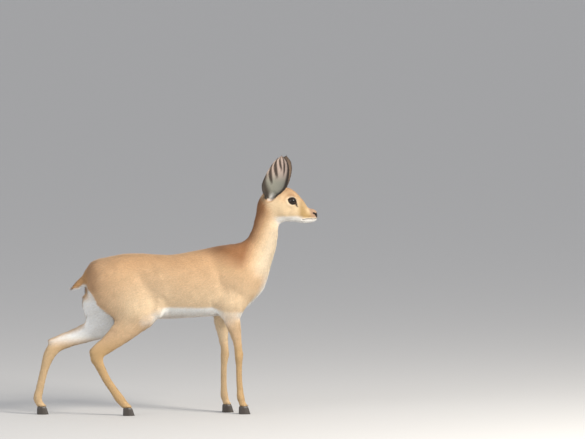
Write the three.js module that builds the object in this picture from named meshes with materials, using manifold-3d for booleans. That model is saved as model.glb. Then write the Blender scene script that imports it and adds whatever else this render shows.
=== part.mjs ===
// A steenbok ewe in mid-stride, life size: a still model whose body is parted into named pieces.
// Units are millimetres, +Z up. The ewe walks towards +X, and its right side faces -Y.
// Its flesh is one smooth form: rows of oval sections along bones, blended where they meet.
// That form is meshed piece by piece, and thin flat cuts part the pieces from each other.
import * as THREE from "three";
import { mergeVertices } from "three/addons/utils/BufferGeometryUtils.js";
import Module from "manifold-3d";

const wasm = await Module();
wasm.setup();

// Driving sizes
const GAP = 0.3; // left between pieces that touch
const EAR_THICK = 3.2; // at the middle of the back, and half of it at the rim
const EYE_RADIUS = 13;
const LID_THICK = 2.6;
const EYE_SLIT = [26, 17]; // length and height of the open eye
const HOOF_LENGTH = 36;
const HOOF_WIDTH = 13; // of one of the two claws
const CORONET_Z = 25; // where hair ends and horn begins
const MOUTH_Z = 602;
const MOUTH_CORNER_X = 411;
const FORE_STANCE = 37; // half the distance between the two forefeet
const HIND_STANCE = 42;

// Sections of the trunk, from the rump to the chest.
// Each row is x, height of the centre, half depth and half width.
const TRUNK = [
  [-248, 404, 28, 28],
  [-238, 412, 45, 40],
  [-219, 420, 62, 50],
  [-188, 422, 69, 55],
  [-141, 419, 82, 59],
  [-94, 409, 93, 63],
  [-47, 397, 100, 67],
  [0, 395, 99.5, 70],
  [47, 398.5, 101, 70],
  [94, 404, 104, 66],
  [135, 408.5, 107, 60],
  [172, 415, 108, 53],
  [203, 420, 104, 45],
  [232, 424, 88, 36],
  [252, 423, 63, 26],
  [265, 422, 38, 17],
];

// The neck, from the base between the shoulders up to the throat.
const NECK = [
  [228, 428, 74, 44],
  [259, 478, 62, 39],
  [284, 521, 49, 34],
  [297, 562, 42, 30],
  [303, 605, 37, 28],
  [313, 643, 34, 27],
  [328, 662, 30, 26],
];

// The head, from the back of the skull to the nose.
const HEAD = [
  [312, 650, 38, 25],
  [333, 648, 50, 31],
  [351, 648, 54.5, 35],
  [367, 642.5, 51.5, 35.5],
  [382, 635, 45, 34],
  [395, 628.5, 38.5, 30],
  [406, 620.5, 31.8, 25.5],
  [416, 615, 27.4, 21.5],
  [426, 612.4, 24.8, 18.8],
  [435, 611.8, 23.2, 17.2],
  [446, 611.8, 20.3, 15.5],
];

const TAIL = [
  [-232, 437, 20, 15],
  [-260, 421, 18, 13],
  [-283, 406, 13.5, 10],
  [-299, 395, 7.5, 6],
];

// Legs. Each row is x, distance from the middle plane, height, half depth and half width.
const SHOULDER = [
  [172, 33, 478, 40, 17],
  [196, 35, 430, 46, 22],
  [214, 36, 392, 44, 23],
  [190, 37, 345, 42, 22],
];
const NEAR_FORE = [
  [184, 38, 338, 40, 22],
  [183, 39, 316, 32, 20],
  [189, 39.5, 292, 26, 17.5],
  [197, 39, 262, 20.5, 15],
  [204, 38.5, 230, 15.5, 12.5],
  [208, 38.5, 204, 13.5, 12.5],
  [210, 38, 184, 14, 13],
  [210, 38, 168, 12.5, 11.5],
  [210.5, 37.5, 150, 10.5, 9.5],
  [211, 37, 115, 10, 9],
  [213.5, 37, 78, 10.5, 9.5],
  [215.5, FORE_STANCE, 52, 12.5, 12],
  [220.5, FORE_STANCE, 35, 11, 12],
  [226, FORE_STANCE, 20, 14, 13.5],
];
const FAR_FORE = [
  [176, 38, 338, 40, 22],
  [169, 39, 314, 32, 20],
  [167, 39.5, 290, 26, 17.5],
  [169, 39, 258, 20.5, 15],
  [172, 38.5, 226, 15.5, 12.5],
  [175.5, 38.5, 202, 13.5, 12.5],
  [176.5, 38, 184, 14, 13],
  [175, 38, 167, 12.5, 11.5],
  [173.5, 37.5, 148, 10.5, 9.5],
  [172.5, 37, 112, 10, 9],
  [173, 37, 76, 10.5, 9.5],
  [174.5, FORE_STANCE, 51, 12.5, 12],
  [179, FORE_STANCE, 35, 11, 12],
  [184, FORE_STANCE, 20, 14, 13.5],
];
const NEAR_HAUNCH = [
  [-200, 32, 424, 63, 29],
  [-172, 38, 386, 71, 31],
  [-127, 42, 340, 58, 29],
  [-90, 46, 317, 40, 22],
  [-48, 47, 325, 24, 14],
];
const NEAR_HIND = [
  [-108, 44, 311, 53, 26],
  [-133, 45, 282, 43, 23],
  [-168, 44, 248, 34, 19],
  [-203, 43, 218, 26, 15.5],
  [-226, 42.5, 200, 23, 14.5],
  [-234, 42, 183, 22, 14.5],
  [-228, 42, 163, 16.5, 13],
  [-218, 42, 142, 14.5, 11],
  [-203, 42, 112, 13.5, 10],
  [-180, 42, 78, 13.5, 10],
  [-162, 42, 52, 15, 12.5],
  [-149, HIND_STANCE, 36, 13, 12.5],
  [-136, HIND_STANCE, 20, 14.5, 14],
];
const FAR_HAUNCH = [
  [-188, 32, 424, 62, 29],
  [-192, 38, 384, 73, 31],
  [-196, 42, 338, 71, 29],
  [-180, 45, 304, 57, 24],
];
const FAR_HIND = [
  [-184, 44, 291, 53, 25],
  [-226, 44, 264, 37, 21],
  [-284, 43, 240, 26.5, 17],
  [-330, 42.5, 222, 22.5, 15],
  [-354, 42, 208, 21, 14.5],
  [-368, 42, 190, 19.5, 14],
  [-378, 42, 168, 16.5, 12.5],
  [-386, 42, 142, 13.5, 10.5],
  [-395, 42, 108, 12.5, 10],
  [-402, 42, 76, 13, 10],
  [-408, 42, 50, 14, 12.5],
  [-402, HIND_STANCE, 34, 12, 12.5],
  [-394, HIND_STANCE, 20, 14.5, 14],
];
// The tendon of the heel, from the back of the leg to the point of the hock.
const NEAR_TENDON = [
  [-176, 43.5, 262, 10, 8],
  [-214, 43, 228, 10, 7.5],
  [-247, 42, 201, 10, 9.5],
];
const FAR_TENDON = [
  [-284, 43, 255, 10, 8],
  [-326, 42.5, 241, 10, 7.5],
  [-367, 42, 226, 9.5, 9.5],
];

// How far the surfaces of two forms are drawn together where they meet.
const BLEND = { neck: 44, head: 26, haunch: 34, shoulder: 30, leg: 22, tail: 10, brow: 9, tendon: 10 };

// One side of the body: -1 is the ewe's right, the near side in the photo.
const NEAR = -1;
const FAR = 1;

// Oval cone sections along a spline through the rows, as short straight spans.
const SPANS = 3; // between two rows
const INNER_CAP = 0.45; // how far a span's end bulges past it, as a share of its half depth
function limb(rows, { tip = 0.8, root = 0.8, pear = 0 } = {}) {
  const centres = new THREE.CatmullRomCurve3(
    rows.map((r) => new THREE.Vector3(r[0], r[1], r[2])),
    false,
    "centripetal",
  );
  const sizes = new THREE.CatmullRomCurve3(
    rows.map((r) => new THREE.Vector3(r[3], r[4], 0)),
    false,
    "catmullrom",
  );
  const count = (rows.length - 1) * SPANS;
  const points = [...Array(count + 1).keys()].map((i) => ({
    at: centres.getPoint(i / count),
    size: sizes.getPoint(i / count),
  }));
  const spans = points.slice(1).map((end, i) => {
    const start = points[i];
    const along = end.at.clone().sub(start.at);
    const length = along.length();
    along.divideScalar(length);
    const side = new THREE.Vector3(0, 1, 0).addScaledVector(along, -along.y).normalize();
    const up = new THREE.Vector3().crossVectors(along, side).negate();
    const cap = [i ? INNER_CAP : root, i < count - 1 ? INNER_CAP : tip];
    return { start, end, along, side, up, length, cap, pear };
  });
  const box = new THREE.Box3();
  for (const { at, size } of points) {
    const most = Math.max(size.x, size.y) * 1.1;
    box.expandByPoint(at.clone().addScalar(most)).expandByPoint(at.clone().addScalar(-most));
  }
  return { spans, box };
}

// Rows that lie in the middle plane have no sideways place.
const middle = (rows) => rows.map(([x, z, depth, width]) => [x, 0, z, depth, width]);
const onSide = (rows, side) => rows.map(([x, y, ...rest]) => [x, y * side, ...rest]);

function spanDistance(span, x, y, z) {
  const { start, end, along, side, up, length } = span;
  const dx = x - start.at.x;
  const dy = y - start.at.y;
  const dz = z - start.at.z;
  const run = dx * along.x + dy * along.y + dz * along.z;
  const share = Math.min(Math.max(run / length, 0), 1);
  const over = run - share * length;
  const across = dx * side.x + dy * side.y + dz * side.z;
  const rise = dx * up.x + dy * up.y + dz * up.z;
  const depth = start.size.x + (end.size.x - start.size.x) * share;
  const shape = 1 - span.pear * Math.min(Math.max(rise / depth, -1), 1);
  const width = (start.size.y + (end.size.y - start.size.y) * share) * shape;
  const cap = Math.max(depth * (over < 0 ? span.cap[0] : span.cap[1]), 2);
  const k = Math.hypot(rise / depth, across / width, over / cap);
  const far = Math.hypot(rise, across, over);
  return k < 1e-6 ? -Math.min(depth, width) : (far * (k - 1)) / k;
}

// Well clear of a limb, the distance to its box is enough.
const CLEAR = 70;
function limbDistance({ spans, box }, x, y, z) {
  const dx = Math.max(box.min.x - x, x - box.max.x, 0);
  const dy = Math.max(box.min.y - y, y - box.max.y, 0);
  const dz = Math.max(box.min.z - z, z - box.max.z, 0);
  const clear = Math.hypot(dx, dy, dz);
  if (clear > CLEAR) return clear;
  let nearest = Infinity;
  for (const span of spans) nearest = Math.min(nearest, spanDistance(span, x, y, z));
  return nearest;
}

// Smooth union of two distances: within reach of each other the surfaces flow together.
function blend(a, b, reach) {
  const h = Math.max(reach - Math.abs(a - b), 0) / reach;
  return Math.min(a, b) - (h * h * reach) / 4;
}

// The eyes sit in the sides of the head and look outwards, a little up and forwards.
const EYE_AT = [377, 26, 659];
const EYE_LOOK = new THREE.Vector3(0.22, 1, 0.1).normalize();
const eyeCentre = (side) => new THREE.Vector3(EYE_AT[0], EYE_AT[1] * side, EYE_AT[2]);
const eyeLook = (side) => new THREE.Vector3(EYE_LOOK.x, EYE_LOOK.y * side, EYE_LOOK.z);

const trunk = limb(middle(TRUNK), { root: 0.35, tip: 0.4, pear: 0.12 });
const neck = limb(middle(NECK), { pear: -0.06 });
const head = limb(middle(HEAD), { pear: -0.2, tip: 0.75 });
const tail = limb(middle(TAIL), { tip: 1 });
const shoulders = [NEAR, FAR].map((side) => limb(onSide(SHOULDER, side)));
const haunches = [
  limb(onSide(NEAR_HAUNCH, NEAR), { root: 0.4, tip: 0.6 }),
  limb(onSide(FAR_HAUNCH, FAR), { root: 0.4, tip: 0.6 }),
];
const LEGS = {
  fore_right: { spans: limb(onSide(NEAR_FORE, NEAR), { tip: 0.3 }), rows: NEAR_FORE, side: NEAR },
  fore_left: { spans: limb(onSide(FAR_FORE, FAR), { tip: 0.3 }), rows: FAR_FORE, side: FAR },
  hind_right: { spans: limb(onSide(NEAR_HIND, NEAR), { tip: 0.3 }), rows: NEAR_HIND, side: NEAR },
  hind_left: { spans: limb(onSide(FAR_HIND, FAR), { tip: 0.3 }), rows: FAR_HIND, side: FAR },
};

const TENDONS = {
  hind_right: limb(onSide(NEAR_TENDON, NEAR), { tip: 1 }),
  hind_left: limb(onSide(FAR_TENDON, FAR), { tip: 1 }),
};
function legDistance(name, x, y, z) {
  const d = limbDistance(LEGS[name].spans, x, y, z);
  return TENDONS[name] ? blend(d, limbDistance(TENDONS[name], x, y, z), BLEND.tendon) : d;
}

function headDistance(x, y, z) {
  let d = limbDistance(head, x, y, z);
  for (const side of [NEAR, FAR]) {
    const orbit = eyeCentre(side).distanceTo(new THREE.Vector3(x, y, z)) - EYE_RADIUS - LID_THICK;
    d = blend(d, orbit, BLEND.brow);
  }
  return d;
}

function bodyDistance(x, y, z) {
  let d = limbDistance(trunk, x, y, z);
  haunches.forEach((h) => (d = blend(d, limbDistance(h, x, y, z), BLEND.haunch)));
  shoulders.forEach((s) => (d = blend(d, limbDistance(s, x, y, z), BLEND.shoulder)));
  d = blend(d, limbDistance(neck, x, y, z), BLEND.neck);
  d = blend(d, headDistance(x, y, z), BLEND.head);
  for (const name of Object.keys(LEGS)) d = blend(d, legDistance(name, x, y, z), BLEND.leg);
  return blend(d, limbDistance(tail, x, y, z), BLEND.tail);
}

// The surface where a distance is zero, meshed inside a box of cells: one vertex to a cell that
// the surface crosses, moved onto the surface, and one four-sided face to each crossed grid edge.
function surface(distance, low, high, cell) {
  const counts = low.map((l, k) => Math.max(Math.ceil((high[k] - l) / cell[k]), 2));
  const nodes = counts.map((n) => n + 1);
  const place = (k, i) => low[k] + i * cell[k];
  const index = (i, j, k) => (i * nodes[1] + j) * nodes[2] + k;
  const values = new Float64Array(nodes[0] * nodes[1] * nodes[2]);
  for (let i = 0; i < nodes[0]; i++)
    for (let j = 0; j < nodes[1]; j++)
      for (let k = 0; k < nodes[2]; k++) {
        const rim = [i, j, k].some((n, axis) => n === 0 || n === counts[axis]);
        const d = distance(place(0, i), place(1, j), place(2, k));
        values[index(i, j, k)] = rim ? Math.max(d, 0.5) : d;
      }
  const corners = [0, 1].flatMap((a) => [0, 1].flatMap((b) => [0, 1].map((c) => [a, b, c])));
  const edges = corners.flatMap((a, m) =>
    corners.flatMap((b, n) => (m < n && a.filter((v, q) => v !== b[q]).length === 1 ? [[a, b]] : [])),
  );
  const vertices = [];
  const vertexOf = new Map();
  for (let i = 0; i < counts[0]; i++)
    for (let j = 0; j < counts[1]; j++)
      for (let k = 0; k < counts[2]; k++) {
        const sum = new THREE.Vector3();
        let crossed = 0;
        for (const [a, b] of edges) {
          const va = values[index(i + a[0], j + a[1], k + a[2])];
          const vb = values[index(i + b[0], j + b[1], k + b[2])];
          if (va < 0 === vb < 0) continue;
          const share = va / (va - vb);
          sum.x += i + a[0] + (b[0] - a[0]) * share;
          sum.y += j + a[1] + (b[1] - a[1]) * share;
          sum.z += k + a[2] + (b[2] - a[2]) * share;
          crossed++;
        }
        if (!crossed) continue;
        sum.divideScalar(crossed);
        const p = new THREE.Vector3(place(0, sum.x), place(1, sum.y), place(2, sum.z));
        const inner = [i, j, k].every((n, axis) => n > 0 && n < counts[axis] - 1);
        if (inner) settle(distance, p, cell);
        vertexOf.set(index(i, j, k), vertices.length / 3);
        vertices.push(p.x, p.y, p.z);
      }
  const triangles = [];
  const quad = (a, b, c, d) => {
    const at = (n) => new THREE.Vector3().fromArray(vertices, 3 * n);
    if (at(a).distanceTo(at(c)) <= at(b).distanceTo(at(d))) triangles.push(a, b, c, a, c, d);
    else triangles.push(b, c, d, b, d, a);
  };
  for (let i = 0; i < counts[0]; i++)
    for (let j = 0; j < counts[1]; j++)
      for (let k = 0; k < counts[2]; k++) {
        const inside = values[index(i, j, k)] < 0;
        [[1, 0, 0], [0, 1, 0], [0, 0, 1]].forEach((step, axis) => {
          const next = values[index(i + step[0], j + step[1], k + step[2])] < 0;
          if (inside === next) return;
          const u = [[0, 1, 0], [0, 0, 1], [1, 0, 0]][axis];
          const v = [[0, 0, 1], [1, 0, 0], [0, 1, 0]][axis];
          const around = [[1, 1], [0, 1], [0, 0], [1, 0]].map(([p, q]) =>
            vertexOf.get(index(i - p * u[0] - q * v[0], j - p * u[1] - q * v[1], k - p * u[2] - q * v[2])),
          );
          if (inside) quad(...around);
          else quad(...around.reverse());
        });
      }
  return solid(vertices, triangles);
}

// Moves a point onto the zero surface along the slope, by less than a cell.
const SETTLE_STEPS = 4;
const SLOPE_STEP = 0.4;
function settle(distance, p, cell) {
  const start = p.clone();
  for (let n = 0; n < SETTLE_STEPS; n++) {
    const d = distance(p.x, p.y, p.z);
    const slope = new THREE.Vector3(
      distance(p.x + SLOPE_STEP, p.y, p.z) - distance(p.x - SLOPE_STEP, p.y, p.z),
      distance(p.x, p.y + SLOPE_STEP, p.z) - distance(p.x, p.y - SLOPE_STEP, p.z),
      distance(p.x, p.y, p.z + SLOPE_STEP) - distance(p.x, p.y, p.z - SLOPE_STEP),
    ).divideScalar(2 * SLOPE_STEP);
    if (slope.lengthSq() < 0.01) return;
    p.addScaledVector(slope, -d / slope.lengthSq());
  }
  ["x", "y", "z"].forEach((axis, k) => {
    const most = cell[k] * 0.6;
    p[axis] = Math.min(Math.max(p[axis], start[axis] - most), start[axis] + most);
  });
}

// Solids and their cuts
function solid(vertices, triangles) {
  const mesh = new wasm.Mesh({
    numProp: 3,
    vertProperties: new Float32Array(vertices),
    triVerts: new Uint32Array(triangles),
  });
  return new wasm.Manifold(mesh);
}

function solidOf(geometry, matrix = new THREE.Matrix4()) {
  const plain = geometry.clone();
  plain.deleteAttribute("normal");
  plain.deleteAttribute("uv");
  const merged = mergeVertices(plain.applyMatrix4(matrix), 1e-3);
  return solid(merged.attributes.position.array, merged.index.array);
}

// Corners closer together than this become one, and triangles that lose a side go.
const WELD = 0.06;
function geometryOf(made) {
  const mesh = made.getMesh();
  const raw = new THREE.BufferGeometry();
  raw.setAttribute("position", new THREE.BufferAttribute(new Float32Array(mesh.vertProperties), 3));
  raw.setIndex(new THREE.BufferAttribute(new Uint32Array(mesh.triVerts), 1));
  const geometry = mergeVertices(raw, WELD);
  const kept = [];
  for (let i = 0; i < geometry.index.count; i += 3) {
    const [a, b, c] = [0, 1, 2].map((n) => geometry.index.getX(i + n));
    if (a !== b && b !== c && c !== a) kept.push(a, b, c);
  }
  geometry.setIndex(kept);
  geometry.computeVertexNormals();
  return geometry;
}

// Keeps what lies past a plane in the direction it faces, less half the gap.
function past(made, plane, turned = 1) {
  const normal = plane.normal.clone().multiplyScalar(turned);
  return made.trimByPlane(normal.toArray(), normal.dot(plane.point) + GAP / 2);
}

const plane = (point, normal) => ({
  point: new THREE.Vector3(...point),
  normal: new THREE.Vector3(...normal).normalize(),
});

function largest(made) {
  return made.decompose().sort((a, b) => b.volume() - a.volume())[0];
}

// Where the body is parted. Each plane faces away from the trunk.
const NECK_CUT = plane([262, 0, 466], [0.94, 0, 0.34]);
const HEAD_CUT = plane([313, 0, 630], [0.854, 0, 0.52]);
const TAIL_CUT = plane([-259.5, 0, 432], [-1, 0, -0.03]);
const ELBOW_CUT = plane([190, 0, 290], [0, 0, -1]);
const GROIN_CUT = plane([-31, 0, 286], [-0.346, 0, -0.938]);
const MIDDLE_CUT = plane([0, 0, 0], [0, 1, 0]);

// Cuts down each leg: the joint between the long bones, the fetlock and the coronet.
const LEG_CUTS = {
  fore_right: [plane([210, 0, 184], [0, 0, -1]), plane([215.5, 0, 56], [0.12, 0, -1])],
  fore_left: [plane([176, 0, 184], [0, 0, -1]), plane([174, 0, 55], [0.1, 0, -1])],
  hind_right: [plane([-236, 0, 186], [-0.25, 0, -1]), plane([-170, 0, 56], [0.5, 0, -1])],
  hind_left: [plane([-364, 0, 202], [-0.75, 0, -1]), plane([-407, 0, 56], [0.05, 0, -1])],
};

// Finishes. Each piece gets a material of its own.
const FINISHES = {
  coat: { color: 0xd9ae76, roughness: 0.85, metalness: 0 },
  ear: { color: 0xb9ac98, roughness: 0.9, metalness: 0 },
  horn: { color: 0x2b211b, roughness: 0.5, metalness: 0 },
  eye: { color: 0x1c100a, roughness: 0.08, metalness: 0 },
};

const ewe = new THREE.Group();
function piece(name, made, finish) {
  const material = new THREE.MeshStandardMaterial(FINISHES[finish]);
  const mesh = new THREE.Mesh(geometryOf(largest(made)), material);
  mesh.name = name;
  ewe.add(mesh);
  return mesh;
}

// Trunk, neck and tail
function makeTrunk() {
  let made = surface(bodyDistance, [-318, -98, 262], [306, 98, 556], [19, 14, 15.5]);
  made = past(made, NECK_CUT, -1);
  made = past(made, TAIL_CUT, -1);
  made = past(made, ELBOW_CUT, -1);
  made = past(made, GROIN_CUT, -1);
  piece("torso", made, "coat");
}

function makeNeck() {
  let made = surface(bodyDistance, [202, -66, 372], [372, 66, 690], [10.5, 9, 12]);
  made = past(made, NECK_CUT);
  made = past(made, HEAD_CUT, -1);
  piece("neck", made, "coat");
}

function makeTail() {
  const tailOnly = (x, y, z) => Math.max(bodyDistance(x, y, z), x + 236);
  const made = surface(tailOnly, [-318, -28, 380], [-226, 28, 470], [9, 8, 9]);
  piece("tail", past(made, TAIL_CUT), "coat");
}

// Head
function lensShape([length, height]) {
  const shape = new THREE.Shape();
  shape.moveTo(-length / 2, -height * 0.04);
  shape.quadraticCurveTo(-length * 0.08, height * 1.06, length / 2, -height * 0.2);
  shape.quadraticCurveTo(-length * 0.02, -height * 0.98, -length / 2, -height * 0.04);
  return shape;
}

// Along the slit, across it and outwards. On the far side, across is downwards.
const EYE_TILT = -0.42; // the front corner of the eye sits lower than the back one
function eyeFrame(side) {
  const out = eyeLook(side);
  const forward = new THREE.Vector3(1, 0, EYE_TILT);
  forward.addScaledVector(out, -forward.dot(out)).normalize();
  const across = new THREE.Vector3().crossVectors(out, forward);
  return new THREE.Matrix4().makeBasis(forward, across, out).setPosition(eyeCentre(side));
}

// A level slice of the muzzle, drawn in by a distance: rays from the middle plane find its edge.
const SLICE_RAYS = 22;
function muzzleOutline(z, inset) {
  const hub = new THREE.Vector2(MOUTH_CORNER_X + 8, 0);
  const points = [];
  for (let i = 0; i <= SLICE_RAYS; i++) {
    const angle = -Math.PI / 2 - 0.5 + ((Math.PI + 1) * i) / SLICE_RAYS;
    const ray = new THREE.Vector2(Math.cos(angle), Math.sin(angle));
    let low = 0;
    let high = 90;
    while (high - low > 0.05) {
      const reach = (low + high) / 2;
      if (headDistance(hub.x + ray.x * reach, ray.y * reach, z) < 0) low = reach;
      else high = reach;
    }
    points.push(hub.clone().addScaledVector(ray, low - inset));
  }
  return points;
}

const MOUTH_OPEN = 1.6;
const MOUTH_DEPTH = 3.2;
function mouthGroove() {
  const inner = muzzleOutline(MOUTH_Z, MOUTH_DEPTH);
  const outer = muzzleOutline(MOUTH_Z, -6).reverse();
  const band = new THREE.Shape([...inner, ...outer]);
  const geometry = new THREE.ExtrudeGeometry(band, { depth: MOUTH_OPEN, bevelEnabled: false });
  const tilt = new THREE.Matrix4().makeTranslation(0, 0, MOUTH_Z - MOUTH_OPEN / 2);
  return solidOf(geometry, tilt);
}

const NOSTRIL = { at: [450.5, 12.2, 617.5], size: [4.8, 2.8, 2.6], turn: 0.7 };
function nostril(side) {
  const geometry = new THREE.SphereGeometry(1, 10, 6);
  const matrix = new THREE.Matrix4().compose(
    new THREE.Vector3(NOSTRIL.at[0], NOSTRIL.at[1] * side, NOSTRIL.at[2]),
    new THREE.Quaternion().setFromEuler(new THREE.Euler(0, NOSTRIL.turn, 0)),
    new THREE.Vector3(...NOSTRIL.size),
  );
  return solidOf(geometry, matrix);
}

function makeHead() {
  let made = surface(bodyDistance, [276, -50, 568], [470, 50, 724], [7.8, 6.8, 7.6]);
  made = past(made, HEAD_CUT);
  for (const side of [NEAR, FAR]) {
    const socket = new THREE.SphereGeometry(EYE_RADIUS + GAP, 22, 14);
    const at = new THREE.Matrix4().setPosition(eyeCentre(side));
    made = made.subtract(solidOf(socket, at));
    const [length, height] = EYE_SLIT;
    const slit = new THREE.ExtrudeGeometry(lensShape([length, -height * side]), {
      depth: EYE_RADIUS * 2,
      bevelEnabled: false,
      curveSegments: 8,
    });
    made = made.subtract(solidOf(slit, eyeFrame(side)));
    made = made.subtract(nostril(side));
  }
  made = made.subtract(mouthGroove());
  piece("head", made, "coat");
}

function makeEyes() {
  for (const [side, name] of [[NEAR, "eye_right"], [FAR, "eye_left"]]) {
    const ball = solidOf(
      new THREE.SphereGeometry(EYE_RADIUS, 18, 10),
      new THREE.Matrix4().setPosition(eyeCentre(side)),
    );
    piece(name, ball, "eye");
  }
}

// Ears: a cupped leaf, rolled into a tube at its root and open to the side.
// Each row is the distance along the ear, its rear and front edges seen from the side, and half
// the angle that its section bends through.
const EAR = [
  [-22, -27, -8, 1.9],
  [-10, -29, -6, 1.85],
  [2, -34, -1, 1.7],
  [12, -41, 6, 1.5],
  [22, -46, 16.5, 1.27],
  [38, -48, 28, 1.05],
  [60, -43.5, 31, 0.9],
  [84, -35.5, 31.5, 0.8],
  [104, -25, 27.5, 0.75],
  [121, -14, 19, 0.7],
  [132, -4, 8, 0.65],
];
const EAR_ROOT = [329, 13, 673];
// The near ear is turned out towards the camera and the far one is pricked forward.
const EAR_LEAN = {
  ear_right: { out: 0.2, forward: 0.1, turn: 0.12 },
  ear_left: { out: 0.22, forward: 0.3, turn: -0.1 },
};
const EAR_ROWS = 13;
const EAR_COLUMNS = 9;
const EAR_SPREAD = 9; // how far the tip stands out from the plane of the root
const RIM_THINNING = 0.55;
const TIP_THINNING = 0.45;
const ROLL_SCALE = 20; // brings the bend to the size of the edges, for the curve through the rows
const earRows = new THREE.CatmullRomCurve3(
  EAR.map(([, rear, front, roll]) => new THREE.Vector3(rear, front, roll * ROLL_SCALE)),
);
const earAlong = new THREE.CatmullRomCurve3(EAR.map(([along]) => new THREE.Vector3(along, 0, 0)));

function earPoint(s, t, outside) {
  const row = earRows.getPoint(s);
  const along = earAlong.getPoint(s).x;
  const roll = row.z / ROLL_SCALE;
  const middle = (row.x + row.y) / 2;
  const radius = (row.y - row.x) / 2 / Math.sin(Math.min(roll, Math.PI / 2));
  const half = (EAR_THICK / 2) * (1 - RIM_THINNING * Math.abs(t) ** 3) * (1 - TIP_THINNING * s);
  const r = radius + (outside ? half : -half);
  const across = middle + r * Math.sin(t * roll);
  const open = radius - r * Math.cos(t * roll);
  return new THREE.Vector3(across, open + EAR_SPREAD * s * s, along);
}

function makeEar(side, lean) {
  const vertices = [];
  const wide = EAR_COLUMNS + 1;
  const at = (row, column, outside) => (row * wide + column) * 2 + (outside ? 0 : 1);
  for (let row = 0; row <= EAR_ROWS; row++)
    for (let column = 0; column <= EAR_COLUMNS; column++)
      for (const outside of [false, true])
        vertices.push(...earPoint(row / EAR_ROWS, (2 * column) / EAR_COLUMNS - 1, outside).toArray());
  const triangles = [];
  const face = (a, b, c, d) => triangles.push(a, b, c, a, c, d);
  for (let row = 0; row < EAR_ROWS; row++) {
    for (let column = 0; column < EAR_COLUMNS; column++) {
      const [a, b, c, d] = [[row, column], [row, column + 1], [row + 1, column + 1], [row + 1, column]];
      triangles.push(at(...a, false), at(...b, false), at(...c, false));
      triangles.push(at(...a, false), at(...c, false), at(...d, false));
      triangles.push(at(...b, true), at(...a, true), at(...c, true));
      triangles.push(at(...c, true), at(...a, true), at(...d, true));
    }
    const last = EAR_COLUMNS;
    face(at(row, 0, true), at(row, 0, false), at(row + 1, 0, false), at(row + 1, 0, true));
    face(at(row, last, false), at(row, last, true), at(row + 1, last, true), at(row + 1, last, false));
  }
  for (let column = 0; column < EAR_COLUMNS; column++) {
    face(at(0, column, true), at(0, column + 1, true), at(0, column + 1, false), at(0, column, false));
    const top = EAR_ROWS;
    face(at(top, column, false), at(top, column + 1, false), at(top, column + 1, true), at(top, column, true));
  }
  const leaf = solid(vertices, triangles);
  const matrix = new THREE.Matrix4()
    .makeTranslation(EAR_ROOT[0], EAR_ROOT[1] * side, EAR_ROOT[2])
    .multiply(new THREE.Matrix4().makeScale(1, side, 1))
    .multiply(new THREE.Matrix4().makeRotationX(-lean.out))
    .multiply(new THREE.Matrix4().makeRotationY(lean.forward))
    .multiply(new THREE.Matrix4().makeRotationZ(lean.turn));
  return leaf.transform(matrix.elements);
}

function makeEars() {
  const skull = surface(
    (x, y, z) => bodyDistance(x, y, z) - GAP,
    [276, -50, 568], [400, 50, 724], [6.8, 6, 6.8],
  );
  for (const [side, name] of [[NEAR, "ear_right"], [FAR, "ear_left"]])
    piece(name, makeEar(side, EAR_LEAN[name]).subtract(skull), "ear");
}

// Legs
const LEG_CELL = { upper: [11.5, 10, 12.5], lower: [7, 6.2, 11.5], foot: [6, 5.6, 6.5] };
const LEG_REACH = 64; // how far flesh may stand in front of or behind the middle of a leg
const LEG_WIDTH = [92, 12]; // how far it may stand out from the middle plane, and past it
const LEG_TOP = { fore: 330, hind: 412 };
const LEG_PARTS = { fore: ["forearm", "cannon", "pastern"], hind: ["gaskin", "cannon", "pastern"] };

const CLAW_SIDES = 12;
function hoofRing(z, length, width, heel, side) {
  return [...Array(CLAW_SIDES).keys()].map((i) => {
    const angle = (2 * Math.PI * i) / CLAW_SIDES;
    const along = Math.cos(angle);
    const taper = 1 - 0.5 * Math.max(along, 0) ** 1.6;
    return [heel + (length / 2) * (1 + along), (width / 2) * Math.sin(angle) * taper * side, z];
  });
}

// One claw: a horn wall from its coronet down to a flat sole, longer below than above.
const TOE_REACH = 9; // how far the toe passes the coronet
const CLAW_CLEFT = 1.2; // between the two claws
function claw(x, y, top, side) {
  const rings = [
    hoofRing(0, HOOF_LENGTH, HOOF_WIDTH, -HOOF_LENGTH / 2 + 1, side),
    hoofRing(top, HOOF_LENGTH - TOE_REACH, HOOF_WIDTH - 1.5, -HOOF_LENGTH / 2 + 2, side),
  ];
  const count = CLAW_SIDES;
  const vertices = rings.flat().flatMap(([a, b, c]) => [a + x, b + y, c]);
  const triangles = [];
  const face = (a, b, c) => triangles.push(...(side < 0 ? [a, c, b] : [a, b, c]));
  for (let i = 0; i < count; i++) {
    const j = (i + 1) % count;
    face(i, j, count + j);
    face(i, count + j, count + i);
    if (i > 0 && i < count - 1) {
      face(0, i + 1, i);
      face(count, count + i, count + i + 1);
    }
  }
  return solid(vertices, triangles);
}

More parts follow.
